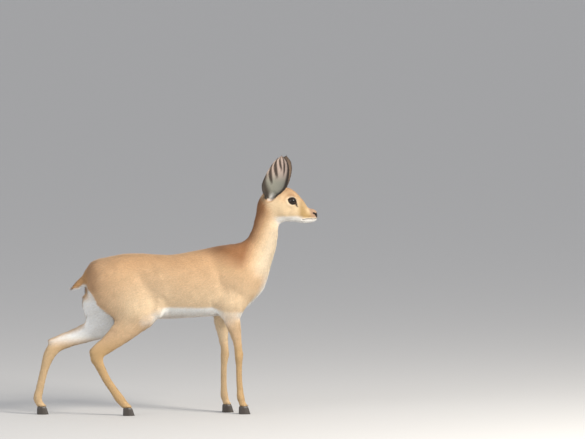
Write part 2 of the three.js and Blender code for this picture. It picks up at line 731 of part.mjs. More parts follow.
function makeLeg(name) {
  const leg = LEGS[name];
  const kind = name.split("_")[0];
  const [joint, fetlock] = LEG_CUTS[name];
  const start = kind === "fore" ? ELBOW_CUT : GROIN_CUT;
  const rows = leg.rows;
  const xs = rows.map((r) => r[0]);
  const [out, inward] = LEG_WIDTH;
  const low = [Math.min(...xs) - LEG_REACH, leg.side === NEAR ? -out : -inward];
  const high = [Math.max(...xs) + LEG_REACH, leg.side === NEAR ? inward : out];
  const between = (cell, from, to, bottom, top) => {
    let made = surface(bodyDistance, [...low, bottom], [...high, top], cell);
    made = past(made, from);
    made = past(made, MIDDLE_CUT, leg.side);
    return past(made, to, -1);
  };
  const [upper, lower, foot] = LEG_PARTS[kind].map((part) => `${name}_${part}`);
  const knee = joint.point.z;
  const coronet = plane([0, 0, CORONET_Z], [0, 0, -1]);
  piece(upper, between(LEG_CELL.upper, start, joint, knee - 30, LEG_TOP[kind]), "coat");
  piece(lower, between(LEG_CELL.lower, joint, fetlock, 28, knee + 34), "coat");
  piece(foot, between(LEG_CELL.foot, fetlock, coronet, 10, 84), "coat");
  const [footX, footY] = rows[rows.length - 1];
  [["inner", -1], ["outer", 1]].forEach(([where, away]) => {
    const y = (footY + away * (HOOF_WIDTH / 2 + CLAW_CLEFT / 2)) * leg.side;
    const made = claw(footX + 1, y, CORONET_Z - GAP / 2, leg.side);
    piece(`${name}_hoof_${where}`, made, "horn");
  });
}

makeTrunk();
makeNeck();
makeTail();
makeHead();
makeEyes();
makeEars();
Object.keys(LEGS).forEach(makeLeg);

// The origin is under the middle of the ewe, on the ground.
const box = new THREE.Box3().setFromObject(ewe);
const centre = box.getCenter(new THREE.Vector3());
ewe.children.forEach((mesh) => mesh.position.set(-centre.x, -centre.y, -box.min.z));

export default ewe;
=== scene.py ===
# A steenbok ewe in mid-stride, life size: skin, coat, eyes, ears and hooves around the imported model.
import math

import bmesh
import bpy
import numpy as np
from mathutils import Matrix, Vector
from mathutils.bvhtree import BVHTree


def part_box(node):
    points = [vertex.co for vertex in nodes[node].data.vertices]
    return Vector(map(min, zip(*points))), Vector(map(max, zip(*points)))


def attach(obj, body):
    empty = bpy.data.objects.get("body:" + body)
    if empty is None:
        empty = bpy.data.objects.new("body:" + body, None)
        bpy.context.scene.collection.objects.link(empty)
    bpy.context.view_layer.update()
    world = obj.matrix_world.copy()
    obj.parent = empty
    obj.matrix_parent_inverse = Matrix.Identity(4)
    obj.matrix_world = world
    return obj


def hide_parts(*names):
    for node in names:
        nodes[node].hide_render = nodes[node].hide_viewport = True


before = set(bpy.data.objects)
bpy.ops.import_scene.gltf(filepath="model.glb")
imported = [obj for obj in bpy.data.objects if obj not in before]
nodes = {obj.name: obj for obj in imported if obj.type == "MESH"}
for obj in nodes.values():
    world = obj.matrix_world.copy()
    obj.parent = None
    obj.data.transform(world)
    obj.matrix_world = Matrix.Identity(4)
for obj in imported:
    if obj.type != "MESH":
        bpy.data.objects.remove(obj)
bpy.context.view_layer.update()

# Where things are on the ewe
# Places below are in millimetres, forward from a point under the ribs, to the left of the
# middle plane, and up from the ground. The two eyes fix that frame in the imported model.
EYE_PLACE = (377.0, 26.0, 659.0)
eye_boxes = [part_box("eye_right"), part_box("eye_left")]
eye_middle = sum((low + high for low, high in eye_boxes), Vector()) / 4
shift = Vector((EYE_PLACE[0], 0, EYE_PLACE[2])) / 1000 - eye_middle
RIGHT = -1
LEFT = 1


def place(x, y, z):
    return Vector((x, y, z)) / 1000 - shift


def in_mm(points):
    return (points + np.array(shift)) * 1000


def eye_at(side):
    return (EYE_PLACE[0], EYE_PLACE[1] * side, EYE_PLACE[2])


def other_side(spot):
    return (spot[0], -spot[1], spot[2])


# The view
# A long lens, a little behind the ewe's right side and barely above its back, so that the
# legs of the far side stand clear of the near ones.
MM_PER_PIXEL = 3.1
FRAME_WIDTH = 585
VIEW_AZIMUTH = math.radians(-8)
VIEW_ELEVATION = math.radians(4)
VIEW_DISTANCE = 30.0
VIEW_MIDDLE = place(383, 0, 600)
SENSOR = 36.0

back = Vector((
    math.sin(VIEW_AZIMUTH) * math.cos(VIEW_ELEVATION),
    -math.cos(VIEW_AZIMUTH) * math.cos(VIEW_ELEVATION),
    math.sin(VIEW_ELEVATION),
))
lens = bpy.data.cameras.new("view")
lens.sensor_width = SENSOR
lens.lens = SENSOR * VIEW_DISTANCE / (FRAME_WIDTH * MM_PER_PIXEL / 1000)
lens.clip_end = 100
camera = bpy.data.objects.new("view", lens)
camera.location = VIEW_MIDDLE + back * VIEW_DISTANCE
camera.rotation_euler = back.to_track_quat("Z", "Y").to_euler()
bpy.context.scene.collection.objects.link(camera)
bpy.context.scene.camera = camera

# The hide
# One hide runs over head, neck, trunk, tail and legs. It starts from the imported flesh, closed
# over the cuts and the eyes, is evened out, and lies inside the solids by the coat's depth.
CUT_GAP = 0.0005
HIDE_CELL = 0.00345
LID = 0.0026
EVEN_ROUNDS = 70
EVEN_IN = 0.5
EVEN_OUT = -0.52
FACE_START = (313, 630)
FACE_SLANT = (0.854, 0.52)
flesh = [n for n in nodes if not n.startswith(("eye_", "ear_")) and "_hoof_" not in n]


def merged(name, swell=0.0):
    made = bmesh.new()
    made.from_mesh(nodes[name].data)
    bmesh.ops.remove_doubles(made, verts=made.verts, dist=1e-5)
    made.normal_update()
    for vertex in made.verts:
        vertex.co += vertex.normal * swell
    return made


def linked(name, made, materials=()):
    mesh = bpy.data.meshes.new(name)
    made.to_mesh(mesh)
    made.free()
    piece = bpy.data.objects.new(name, mesh)
    bpy.context.scene.collection.objects.link(piece)
    for material in materials:
        mesh.materials.append(material)
    return piece


def applied(piece):
    depsgraph = bpy.context.evaluated_depsgraph_get()
    mesh = bpy.data.meshes.new_from_object(piece.evaluated_get(depsgraph))
    piece.modifiers.clear()
    old = piece.data
    piece.data = mesh
    bpy.data.meshes.remove(old)


def remeshed(piece, cell):
    shape = piece.modifiers.new("even", "REMESH")
    shape.mode = "VOXEL"
    shape.voxel_size = cell
    applied(piece)


def smooth_shaded(piece):
    for polygon in piece.data.polygons:
        polygon.use_smooth = True


def three_each(values, name):
    flat = np.empty(len(values) * 3, np.float32)
    values.foreach_get(name, flat)
    return flat.reshape(-1, 3).astype(float)


def points_of(mesh):
    return three_each(mesh.vertices, "co")


def normals_of(mesh):
    return three_each(mesh.vertex_normals, "vector")


def set_points(mesh, points):
    mesh.vertices.foreach_set("co", points.astype(np.float32).ravel())
    mesh.update()


def edges_of(mesh):
    flat = np.empty(len(mesh.edges) * 2, np.int32)
    mesh.edges.foreach_get("vertices", flat)
    return flat.reshape(-1, 2)


def neighbour_mean(values, edges):
    count = len(values)
    ends = np.concatenate([edges[:, 0], edges[:, 1]])
    others = np.concatenate([edges[:, 1], edges[:, 0]])
    share = np.maximum(np.bincount(ends, minlength=count), 1)
    sums = [np.bincount(ends, values[others, axis], count) for axis in range(values.shape[1])]
    return np.stack(sums, axis=1) / share[:, None]


def smoothstep(low, high, value):
    t = np.clip((value - low) / (high - low), 0, 1)
    return t * t * (3 - 2 * t)


def faceward(x, z):
    return (x - FACE_START[0]) * FACE_SLANT[0] + (z - FACE_START[1]) * FACE_SLANT[1]


def evened(points, edges, weight, rounds):
    for _ in range(rounds):
        for step in (EVEN_IN, EVEN_OUT):
            points = points + step * weight[:, None] * (neighbour_mean(points, edges) - points)
    return points


whole = bmesh.new()
for name in flesh + ["eye_right", "eye_left"]:
    part = merged(name, LID if name.startswith("eye_") else CUT_GAP)
    loose = bpy.data.meshes.new("loose")
    part.to_mesh(loose)
    part.free()
    whole.from_mesh(loose)
    bpy.data.meshes.remove(loose)
hide = linked("hide", whole)
remeshed(hide, HIDE_CELL)

points = points_of(hide.data)
edges = edges_of(hide.data)
mm = in_mm(points)
upper = smoothstep(300, 380, mm[:, 2])
on_head = smoothstep(-8, 20, faceward(mm[:, 0], mm[:, 2]))
weight = (0.55 + 0.45 * upper) * (1 - 0.6 * on_head)
points = evened(points, edges, weight, EVEN_ROUNDS)
set_points(hide.data, points)

# The head's hide in smaller faces
# Lids, lips and nostrils need a finer hide than the flanks: the head is divided once, and the
# muzzle and the places round the eyes once more.
FINE_FROM = 5
FINE_ROUNDS = 8
MUZZLE_FROM = 398
EYE_REACH = 24


def on_face(x, y, z):
    return faceward(x - FINE_FROM, z) > 0


def by_muzzle_or_eye(x, y, z):
    return x > MUZZLE_FROM or math.dist((x, abs(y), z), EYE_PLACE) < EYE_REACH


for chosen in (on_face, by_muzzle_or_eye):
    fine = bmesh.new()
    fine.from_mesh(hide.data)
    picked = {v for v in fine.verts if chosen(*((v.co + shift) * 1000))}
    inner = [e for e in fine.edges if e.verts[0] in picked and e.verts[1] in picked]
    bmesh.ops.subdivide_edges(fine, edges=inner, cuts=1, use_grid_fill=True)
    fine.to_mesh(hide.data)
    fine.free()
    hide.data.update()
    points = points_of(hide.data)
    mm = in_mm(points)
    on_head = smoothstep(-2, 16, faceward(mm[:, 0] - FINE_FROM, mm[:, 2]))
    points = evened(points, edges_of(hide.data), on_head, FINE_ROUNDS)
    set_points(hide.data, points)

# The seat
# Skin bridges the haunches below the tail, so the step that the solids' parting leaves there is
# rubbed out of the hide.
SEAT = (-250, 0, 362)
SEAT_REACH = 34
SEAT_ROUNDS = 90
mm = in_mm(points)
from_seat = np.linalg.norm(mm * np.array([1, 0.5, 1]) - np.array(SEAT), axis=1)
rubbed = smoothstep(SEAT_REACH, SEAT_REACH * 0.5, from_seat) * 0.6
seat_edges = edges_of(hide.data)
for _ in range(SEAT_ROUNDS):
    points = points + rubbed[:, None] * (neighbour_mean(points, seat_edges) - points)
set_points(hide.data, points)

# Muscle and bone under the hide
# Each entry is a line under the hide in millimetres, how far its form spreads, and how much
# it raises (or, below zero, hollows) the hide. Those with a side of None are on both sides.
FORMS = [
    ("blade ridge", (176, 26, 486), (214, 38, 400), 13, 1.6, None),
    ("behind the blade", (138, 40, 470), (156, 52, 385), 15, -2.2, None),
    ("upper arm", (196, 42, 392), (180, 44, 352), 20, 2.2, None),
    ("behind the elbow", (158, 44, 350), (160, 38, 318), 11, -2.4, None),
    ("point of shoulder", (228, 30, 396), (229, 28, 384), 13, 2.0, None),
    ("front of the blade", (222, 30, 458), (238, 30, 408), 12, -2.0, None),
    ("hip bone", (-128, 40, 452), (-136, 42, 444), 14, 2.6, None),
    ("flank hollow", (-96, 50, 420), (-74, 56, 388), 24, -3.4, None),
    ("stifle", (-92, -56, 326), (-100, -56, 306), 16, 2.2, RIGHT),
    ("stifle", (-172, 56, 318), (-186, 56, 296), 16, 2.0, LEFT),
    ("behind the stifle", (-128, -60, 300), (-140, -56, 282), 12, -1.8, RIGHT),
    ("thigh line", (-196, -46, 414), (-168, -54, 322), 11, -2.0, RIGHT),
    ("thigh line", (-204, 46, 414), (-222, 52, 318), 11, -2.0, LEFT),
    ("seat bone", (-236, 30, 424), (-240, 28, 412), 12, 2.2, None),
    ("last rib", (-44, 60, 452), (-16, 62, 372), 10, 1.2, None),
    ("windpipe", (322, 0, 600), (262, 0, 452), 13, 2.0, None),
    ("beside the windpipe", (322, 22, 606), (268, 30, 462), 9, -1.8, None),
    ("breast bone", (262, 0, 424), (246, 0, 380), 12, 2.0, None),
    ("base of the neck", (238, 30, 468), (254, 26, 430), 12, -1.6, None),
    ("cheek muscle", (342, 33, 634), (352, 34, 622), 13, 1.6, None),
    ("cheek bone", (352, 33, 651), (386, 27, 642), 6, 1.3, None),
    ("front of the cheek", (372, 32, 634), (366, 33, 618), 6, -1.0, None),
    ("below the eye", (398, 20, 640), (408, 18, 634), 8, -1.3, None),
    ("temple", (352, 30, 670), (360, 27, 676), 9, -1.3, None),
    ("bridge of the nose", (396, 4, 660), (440, 3, 628), 6, 0.8, None),
    ("beside the bridge", (412, 13, 648), (434, 11, 632), 6, -0.9, None),
    ("jaw", (338, 20, 600), (390, 15, 601), 6, 1.0, None),
    ("poll", (336, 0, 690), (342, 0, 692), 14, 1.2, None),
]
# Down each leg: knee or hock, cannon, fetlock and pastern, as points of its middle line.
LEGS = {
    "fore_right": [
        (184, -37, 338), (189, -38, 292), (204, -39, 230), (210, -39, 184), (210, -39, 150),
        (211, -39.5, 115), (213.5, -39.5, 78), (215.5, -39.5, 52), (220.5, -39.5, 35), (226, -39.5, 20),
    ],
    "fore_left": [
        (176, 37, 338), (167, 37, 290), (172, 38, 226), (176.5, 38, 184), (173.5, 38.5, 148),
        (172.5, 39, 112), (173, 39, 76), (174.5, 39, 51), (179, 39, 35), (184, 39, 20),
    ],
    "hind_right": [
        (-108, -46, 311), (-133, -44, 282), (-203, -42, 218), (-234, -42, 183), (-228, -42, 163),
        (-218, -42, 142), (-203, -42, 112), (-180, -43, 78), (-162, -44, 52), (-149, -44, 36),
        (-136, -44, 20),
    ],
    "hind_left": [
        (-184, 45, 291), (-226, 43, 264), (-330, 42, 222), (-368, 42, 190), (-378, 42, 168),
        (-386, 42.5, 142), (-395, 43, 108), (-402, 43, 76), (-408, 43.5, 50), (-402, 43.5, 34),
        (-394, 44, 20),
    ],
}
FORM_SHARE = 0.8
TENDON_GROOVE = 0.5
TENDON_SPREAD = 3.0
TENDON_APART = 7.0
TENDON_BEHIND = {"fore": -2.0, "hind": -3.0}


def line_distance(spots, start, end):
    start = np.array(start, float)
    along = np.array(end, float) - start
    t = np.clip((spots - start) @ along / (along @ along), 0, 1)
    return np.linalg.norm(spots - start - t[:, None] * along, axis=1)


def swell(distance, width, at=0.0):
    return np.exp(-(((distance - at) / width) ** 2))


mm = in_mm(points)
rise = np.zeros(len(mm))
for _, start, end, spread, height, side in FORMS:
    lines = [(start, end)]
    if side is None and start[1] != 0:
        lines.append((other_side(start), other_side(end)))
    for a, b in lines:
        rise += height * FORM_SHARE * swell(line_distance(mm, a, b), spread)
for leg, spine in LEGS.items():
    for a, b in zip(spine[4:-3], spine[5:-2]):
        for side in (RIGHT, LEFT):
            offset = np.array([TENDON_BEHIND[leg[:4]], side * TENDON_APART, 0])
            gap = line_distance(mm, np.array(a) + offset, np.array(b) + offset)
            rise -= TENDON_GROOVE * swell(gap, TENDON_SPREAD)

# Under the coat
# The hair's own depth is taken off the hide, so that the coat ends where the solids do: deep
# on neck and body, next to none on the nose.
BODY_COAT = 2.4
LEG_COAT = 1.5
FACE_COAT = 1.1
NOSE_COAT = 0.35
on_head = smoothstep(-6, 18, faceward(mm[:, 0], mm[:, 2]))
on_nose = smoothstep(432, 446, mm[:, 0]) * on_head
on_leg = 1 - smoothstep(230, 330, mm[:, 2])
coat_depth = BODY_COAT + (LEG_COAT - BODY_COAT) * on_leg
coat_depth += (FACE_COAT - coat_depth) * on_head
coat_depth += (NOSE_COAT - coat_depth) * on_nose
points = points + normals_of(hide.data) * ((rise - coat_depth) / 1000)[:, None]
set_points(hide.data, points)

# The mouth and nostrils
# A closed mouth line round the muzzle, drawn as seen from the side, with a soft lip on either
# side of it, and a comma of a nostril at each side of the bare nose pad.
MOUTH_LINE = [(411, 0, 599.5), (418, 0, 601.5), (430, 0, 602.5), (446, 0, 601.5), (462, 0, 602.5)]
NOSTRIL = [(447, 0, 620), (450.5, 0, 619), (453.5, 0, 616.5), (454.5, 0, 613.5)]
NOSTRIL_FROM = 5.0
LIP_OPEN = 1.7
LIP_SWELL = 0.6
NOSTRIL_DEEP = 4.2
NOSTRIL_SWELL = 0.5
SEAM_DEEP = 0.8


def curve_distance(spots, path):
    gaps = [line_distance(spots, a, b) for a, b in zip(path, path[1:])]
    return np.min(gaps, axis=0)


def mouth_gap(spots):
    level = spots * np.array([1, 0, 1])
    return curve_distance(level, MOUTH_LINE)


def nostril_gap(spots):
    level = spots * np.array([1, 0, 1])
    inner = np.maximum(NOSTRIL_FROM - np.abs(spots[:, 1]), 0)
    return np.hypot(curve_distance(level, NOSTRIL), inner)


mm = in_mm(points)
lips = mouth_gap(mm)
comma = nostril_gap(mm)
lift = -LIP_OPEN * swell(lips, 1.1) + LIP_SWELL * swell(lips, 1.8, 2.8)
lift += -NOSTRIL_DEEP * swell(comma, 1.7) + NOSTRIL_SWELL * swell(comma, 1.6, 3.4)
seam = swell(mm[:, 1], 0.8) * smoothstep(448, 454, mm[:, 0]) * smoothstep(603, 606, mm[:, 2])
lift -= SEAM_DEEP * seam * (1 - smoothstep(616, 622, mm[:, 2]))
points = points + normals_of(hide.data) * (lift / 1000)[:, None]
set_points(hide.data, points)

# The ears' roots
# Each ear is a leaf rolled into a tube at its root. The rows give, along the ear from its root,
# its rear and front edges and half the angle it bends through. The hide sinks inside the tube.
EAR_ROWS = [(-22, -27, -8, 1.9), (-10, -29, -6, 1.85), (2, -34, -1, 1.7), (12, -41, 6, 1.5),
            (22, -46, 16.5, 1.27), (38, -48, 28, 1.05), (60, -43.5, 31, 0.9), (84, -35.5, 31.5, 0.8),
            (104, -25, 27.5, 0.75), (121, -14, 19, 0.7), (132, -4, 8, 0.65)]
EAR_ROOT = (329, 13, 673)
EAR_LEAN = {"ear_right": (0.2, 0.1, 0.12), "ear_left": (0.22, 0.3, -0.1)}
EAR_THICK = 0.0026
EAR_SPREAD = 9
EAR_TIP = 0.1
PIT_DEEP = 3.0
PIT_REACH = (-16, 34)


def ear_row(s):
    spot = s * (len(EAR_ROWS) - 1)
    first = min(int(spot), len(EAR_ROWS) - 2)
    t = spot - first
    near_by = (min(max(first + k, 0), len(EAR_ROWS) - 1) for k in (-1, 0, 1, 2))
    before, low, high, after = (np.array(EAR_ROWS[k], float) for k in near_by)
    cubic = 2 * before - 5 * low + 4 * high - after + t * (3 * (low - high) + after - before)
    return low + 0.5 * t * (high - before + t * cubic)


def ear_spot(s, t):
    along, rear, front, roll = ear_row(s)
    narrow = math.sqrt(max(1 - max(0, (s - 1 + EAR_TIP) / EAR_TIP) ** 2, 0.04))
    radius = (front - rear) / 2 / math.sin(min(roll, math.pi / 2))
    across = (front + rear) / 2 + radius * math.sin(t * roll) * narrow
    return Vector((across, radius - radius * math.cos(t * roll) + EAR_SPREAD * s * s, along)) / 1000


def ear_turn(side, lean):
    out, forward, turn = lean
    return (
        Matrix.Translation(place(EAR_ROOT[0], EAR_ROOT[1] * side, EAR_ROOT[2]))
        @ Matrix.Diagonal((1, side, 1, 1))
        @ Matrix.Rotation(-out, 4, "X")
        @ Matrix.Rotation(forward, 4, "Y")
        @ Matrix.Rotation(turn, 4, "Z")
    )


ear_heights = np.linspace(0, 1, 200)
ear_table = np.array([ear_row(s) for s in ear_heights])
pit = np.zeros(len(points))
for side, name in ((RIGHT, "ear_right"), (LEFT, "ear_left")):
    turned = np.array(ear_turn(side, EAR_LEAN[name]))
    back_turned = np.linalg.inv(turned)
    local = (points @ back_turned[:3, :3].T + back_turned[:3, 3]) * 1000
    up_ear = np.clip(local[:, 2], PIT_REACH[0], PIT_REACH[1])
    rear, front, roll = (np.interp(up_ear, ear_table[:, 0], ear_table[:, k]) for k in (1, 2, 3))
    radius = (front - rear) / 2 / np.sin(np.minimum(roll, math.pi / 2))
    off = np.hypot(local[:, 0] - (front + rear) / 2, local[:, 1] - radius) / radius
    within = smoothstep(1.12, 0.86, off) * smoothstep(PIT_REACH[0], PIT_REACH[0] + 9, local[:, 2])
    within = within * smoothstep(PIT_REACH[1] + 8, PIT_REACH[1], local[:, 2])
    pit = np.maximum(pit, within)
    from_middle = local[:, 0] - (front + rear) / 2
    behind = radius - np.sqrt(np.maximum(radius ** 2 - from_middle ** 2, 0)) - PIT_DEEP
    sunk = np.minimum(local[:, 1], behind)
    local[:, 1] += (sunk - local[:, 1]) * within
    points = (local / 1000) @ turned[:3, :3].T + turned[:3, 3]
set_points(hide.data, points)

# The eye sockets
# The hide sinks behind each eyeball inside an almond of two arcs, whose front corner is the
# lower one, and stands a little proud round it.
EYE_RADIUS = 13.0
EYE_LOOK = (0.22, 1.0, 0.1)
EYE_ROUND = 30.0
SLIT_HALF = 12.4
SLIT_RISE = 9.2
SLIT_TILT = math.radians(-21)
SOCKET_DEEP = 3.0
arc = (SLIT_HALF ** 2 + SLIT_RISE ** 2) / (2 * SLIT_RISE)


def eye_axes(side):
    look = Vector((EYE_LOOK[0], EYE_LOOK[1] * side, EYE_LOOK[2])).normalized()
    ahead = Vector((1, 0, 0)) - look * look.x
    ahead = ahead.normalized() * math.cos(SLIT_TILT) + Vector((0, 0, 1)) * math.sin(SLIT_TILT)
    ahead = (ahead - look * ahead.dot(look)).normalized()
    above = look.cross(ahead) * -side
    return ahead, above, look


def slit_gap(a, b):
    upper_arc = np.hypot(a, b + (arc - SLIT_RISE))
    lower_arc = np.hypot(a, b - (arc - SLIT_RISE))
    return np.maximum(upper_arc, lower_arc) - arc


def round_eye(spots, side):
    ahead, above, look = (np.array(axis) for axis in eye_axes(side))
    from_eye = spots - np.array(eye_at(side))
    near = (from_eye @ look > 0) & (np.linalg.norm(from_eye, axis=1) < EYE_ROUND)
    return from_eye, near, slit_gap(from_eye @ ahead, from_eye @ above)


for side in (RIGHT, LEFT):
    from_eye, near, gap = round_eye(in_mm(points), side)
    far = np.linalg.norm(from_eye, axis=1)
    sunk = EYE_RADIUS - SOCKET_DEEP + 3.6 * smoothstep(1.5, 5, gap)
    wanted = sunk + (far - sunk) * smoothstep(3.0, 8.0, gap)
    reach = np.where(near, wanted, far)
    points = points + from_eye * ((reach / np.maximum(far, 1e-6) - 1) / 1000)[:, None]
set_points(hide.data, points)
smooth_shaded(hide)

# Colours of the coat
# Rufous fawn over the back, paler on the flanks and neck, white below and inside the legs,
# yellow-brown cannons, pale face with a dark tear mark, and black bare skin at nose and lids.
TONES = {
    "fawn": (213, 178, 139),
    "back": (202, 160, 117),
    "rump": (204, 165, 126),
    # Dark nape brown, darkened further to serve as painted shade on the neck's rear and the rump's rear
    # end
    "nape_brown_and_shade": (142, 94, 56),
    "pale": (232, 206, 170),
    "throat": (234, 214, 184),
    "white": (253, 251, 246),
    "cannon": (201, 166, 118),
    "cannon_front": (204, 162, 106),
    "crown": (190, 147, 106),
    "cheek": (219, 193, 156),
    "muzzle": (160, 129, 76),
    "nose": (36, 30, 28),
    "rim": (34, 27, 23),
    "tear": (52, 36, 26),
    "bridge": (168, 136, 112),
    "inner_ear_in_shade": (142, 141, 129),
    "inner_pale": (186, 166, 154),
    "inner_deep_shade": (92, 84, 74),
    "ear_back": (132, 110, 90),
    "ear_dark": (50, 40, 33),
    "tail": (190, 146, 100),
}


def tone(name):
    parts = np.array(TONES[name]) / 255
    return np.where(parts <= 0.04045, parts / 12.92, ((parts + 0.055) / 1.055) ** 2.4)


def painted(base, name, mask):
    return base + (tone(name) - base) * np.clip(mask, 0, 1)[:, None]


def wander(spots, length, seed):
    total = np.zeros(len(spots))
    random = np.random.default_rng(seed)
    for _ in range(6):
        direction = random.normal(size=3)
        direction /= np.linalg.norm(direction)
        turns = spots @ direction * (2 * math.pi / (length * random.uniform(0.7, 1.5)))
        total += np.sin(turns + random.uniform(0, 6.28))
    return total / 6


# Each function below gives coats of colour, the first laid on first: a tone, and how far it
# covers each place on the hide.
NECK_START = (228, 428)
NECK_SLANT = (0.393, 0.919)
NECK_HALF = 38
TEAR_LINE = [(390, 0, 655), (392.5, 0, 649), (395.5, 0, 641)]
PAD_FROM = 451
PAD_TOP = 623
PAD_FOOT = 606.5


def neckward(x, z):
    return (x - NECK_START[0]) * NECK_SLANT[0] + (z - NECK_START[1]) * NECK_SLANT[1]


def trunk_coats(spots, facing, drift):
    x, y, z = spots.T
    height = (z - 410 + 10 * drift) / 100
    withers = smoothstep(120, 200, x) * smoothstep(448, 496, z + 6 * drift) * (1 - smoothstep(236, 262, x))
    # Painted shade: the rump's rear end above the tail is darkened with the nape brown
    stern_shade = smoothstep(-212, -246, x + 6 * drift) * smoothstep(376, 400, z)
    neck_front = (x - NECK_START[0]) * NECK_SLANT[1] - (z - NECK_START[1]) * NECK_SLANT[0]
    neck_front = neck_front / NECK_HALF
    on_neck = smoothstep(0, 60, neckward(x, z))
    body = smoothstep(-215, -150, x) * (1 - smoothstep(215, 250, x)) * smoothstep(270, 295, z)
    line = 335 + 4 * drift - 12 * smoothstep(120, 190, x)
    low = smoothstep(line + 5, line - 5, z) * smoothstep(0.35, -0.35, facing[:, 2] + 0.25)
    under = smoothstep(-0.55, -0.85, facing[:, 2]) * smoothstep(290, 310, z)
    brisket = smoothstep(0.2, 0.6, facing[:, 0] - 0.4 * facing[:, 2])
    brisket = brisket * smoothstep(42, 6, np.abs(y) + 6 * drift)
    return [
        ("pale", smoothstep(0.35, -0.75, height) * 0.8),
        ("back", smoothstep(0.1, 1.0, height + 0.25 * facing[:, 2]) * 0.85),
        ("rump", smoothstep(-120, -235, x + 12 * drift) * 0.75),
        ("nape_brown_and_shade", withers * 0.17),
        # painted shade on the rump's rear end
        ("nape_brown_and_shade", stern_shade * 0.4),
        ("fawn", on_neck * 0.7),
        ("back", on_neck * 0.3),
        # The neck's rear darkened: partly its own dark line and partly painted shade
        ("nape_brown_and_shade", on_neck * smoothstep(0.05, -0.85, neck_front) * 0.9),
        ("pale", on_neck * smoothstep(-0.25, 0.55, neck_front) * 0.9),
        ("throat", on_neck * smoothstep(0.4, 1.0, neck_front + 0.1 * drift)),
        ("white", body * low * (1 - smoothstep(-86, -104, x))),
        ("white", under * (1 - smoothstep(345, 380, z)) * (x < 240)),
        ("white", brisket * (x > 205) * smoothstep(456, 388, z + 8 * drift) * 0.9),
    ]


def leg_and_tail_coats(spots, facing, drift):
    x, y, z = spots.T
    inward = -facing[:, 1] * np.sign(y)
    inner_leg = smoothstep(0.15, 0.6, inward + 0.1 * drift + 0.35 * smoothstep(0, -0.6, facing[:, 2]))
    hind_inner = inner_leg * smoothstep(205, 250, z) * (1 - smoothstep(348, 376, z)) * (x < 60)
    fore_inner = inner_leg * smoothstep(190, 250, z) * (1 - smoothstep(340, 380, z)) * (x > 60)
    seat = smoothstep(-0.35, -0.8, facing[:, 0]) * smoothstep(30, 12, np.abs(y)) * smoothstep(250, 300, z)
    on_tail = smoothstep(-252, -262, x) * smoothstep(370, 384, z)
    return [
        ("fawn", smoothstep(330, 270, z) * 0.7),
        ("cannon", smoothstep(260, 190, z) * 0.9),
        ("cannon_front", smoothstep(250, 180, z) * smoothstep(0.3, 0.9, facing[:, 0] * 0.5 + 0.1) * 0.4),
        ("white", hind_inner * (1 - 0.75 * smoothstep(0.25, 0.75, facing[:, 2]))),
        ("pale", fore_inner),
        ("pale", smoothstep(0.1, 0.7, inward) * smoothstep(250, 190, z) * 0.35),
        ("white", seat * (x < -150) * (1 - smoothstep(395, 420, z)) * 0.8),
        ("tail", on_tail),
        ("white", on_tail * smoothstep(-0.1, -0.6, facing[:, 2])),
        ("rim", smoothstep(30, 24, z) * 0.55),
    ]


def head_coats(spots, facing, drift):
    x, y, z = spots.T
    on_head = smoothstep(-10, 14, faceward(x, z))
    crown = smoothstep(0.15, 0.8, facing[:, 2] + 0.15 * drift) * smoothstep(626, 650, z)
    beside = 1 - 0.7 * smoothstep(0.1, 0.6, facing[:, 2])
    bridge = smoothstep(432, 444, x + 0.3 * (z - 616))
    chin = smoothstep(-0.05, -0.55, facing[:, 2]) * smoothstep(617, 608, z)
    behind_ear = np.sqrt((x - 295) ** 2 + (np.abs(y) - 24) ** 2 + (z - 676) ** 2)
    coats = [
        ("cheek", on_head),
        ("crown", on_head * crown * 0.85),
        ("muzzle", smoothstep(392, 412, x) * on_head * smoothstep(602, 612, z) * 0.85 * beside),
        ("bridge", bridge * on_head * smoothstep(604, 608, z) * 0.9),
        ("white", on_head * smoothstep(608, 599, z) * 0.75),
        ("white", on_head * chin * 0.8),
        ("ear_dark", smoothstep(16, 7, behind_ear) * 0.7),
    ]
    for side in (RIGHT, LEFT):
        _, near, gap = round_eye(spots, side)
        coats.append(("throat", near * smoothstep(9, 3, gap) * 0.55))
        coats.append(("rim", near * smoothstep(3.2, 2.2, gap)))
    tear = curve_distance(spots * np.array([1, 0, 1]), TEAR_LINE)
    tear_width = 2.2 + 1.6 * smoothstep(640, 654, z)
    mouth = smoothstep(1.7, 0.7, mouth_gap(spots)) * (x > MOUTH_LINE[0][0])
    return coats + [
        ("tear", on_head * smoothstep(1.25, 0.75, tear / tear_width)),
        ("nose", pad_share(spots) * on_head * 0.96),
        ("nose", on_head * smoothstep(3.4, 2.2, nostril_gap(spots))),
        ("tear", on_head * mouth * 0.9),
    ]


def pad_share(spots):
    x, y, z = spots.T
    front = smoothstep(PAD_FROM - 1.2, PAD_FROM + 1.2, x + 0.2 * (z - 616) - 0.012 * y * y)
    foot = smoothstep(PAD_FOOT - 1.5, PAD_FOOT + 1, z)
    return front * foot * smoothstep(PAD_TOP + 1, PAD_TOP - 2, z + 0.02 * y * y)


def coat_tint(spots, facing):
    drift = wander(spots, 90, 3)
    tint = np.tile(tone("fawn"), (len(spots), 1))
    for coats in (trunk_coats, leg_and_tail_coats, head_coats):
        for name, mask in coats(spots, facing, drift):
            tint = painted(tint, name, mask)
    return tint


def set_tint(mesh, tint):
    layer = mesh.color_attributes.get("tint") or mesh.color_attributes.new("tint", "FLOAT_COLOR", "POINT")
    four = np.ones((len(mesh.vertices), 4), np.float32)
    four[:, :3] = tint
    layer.data.foreach_set("color", four.ravel())


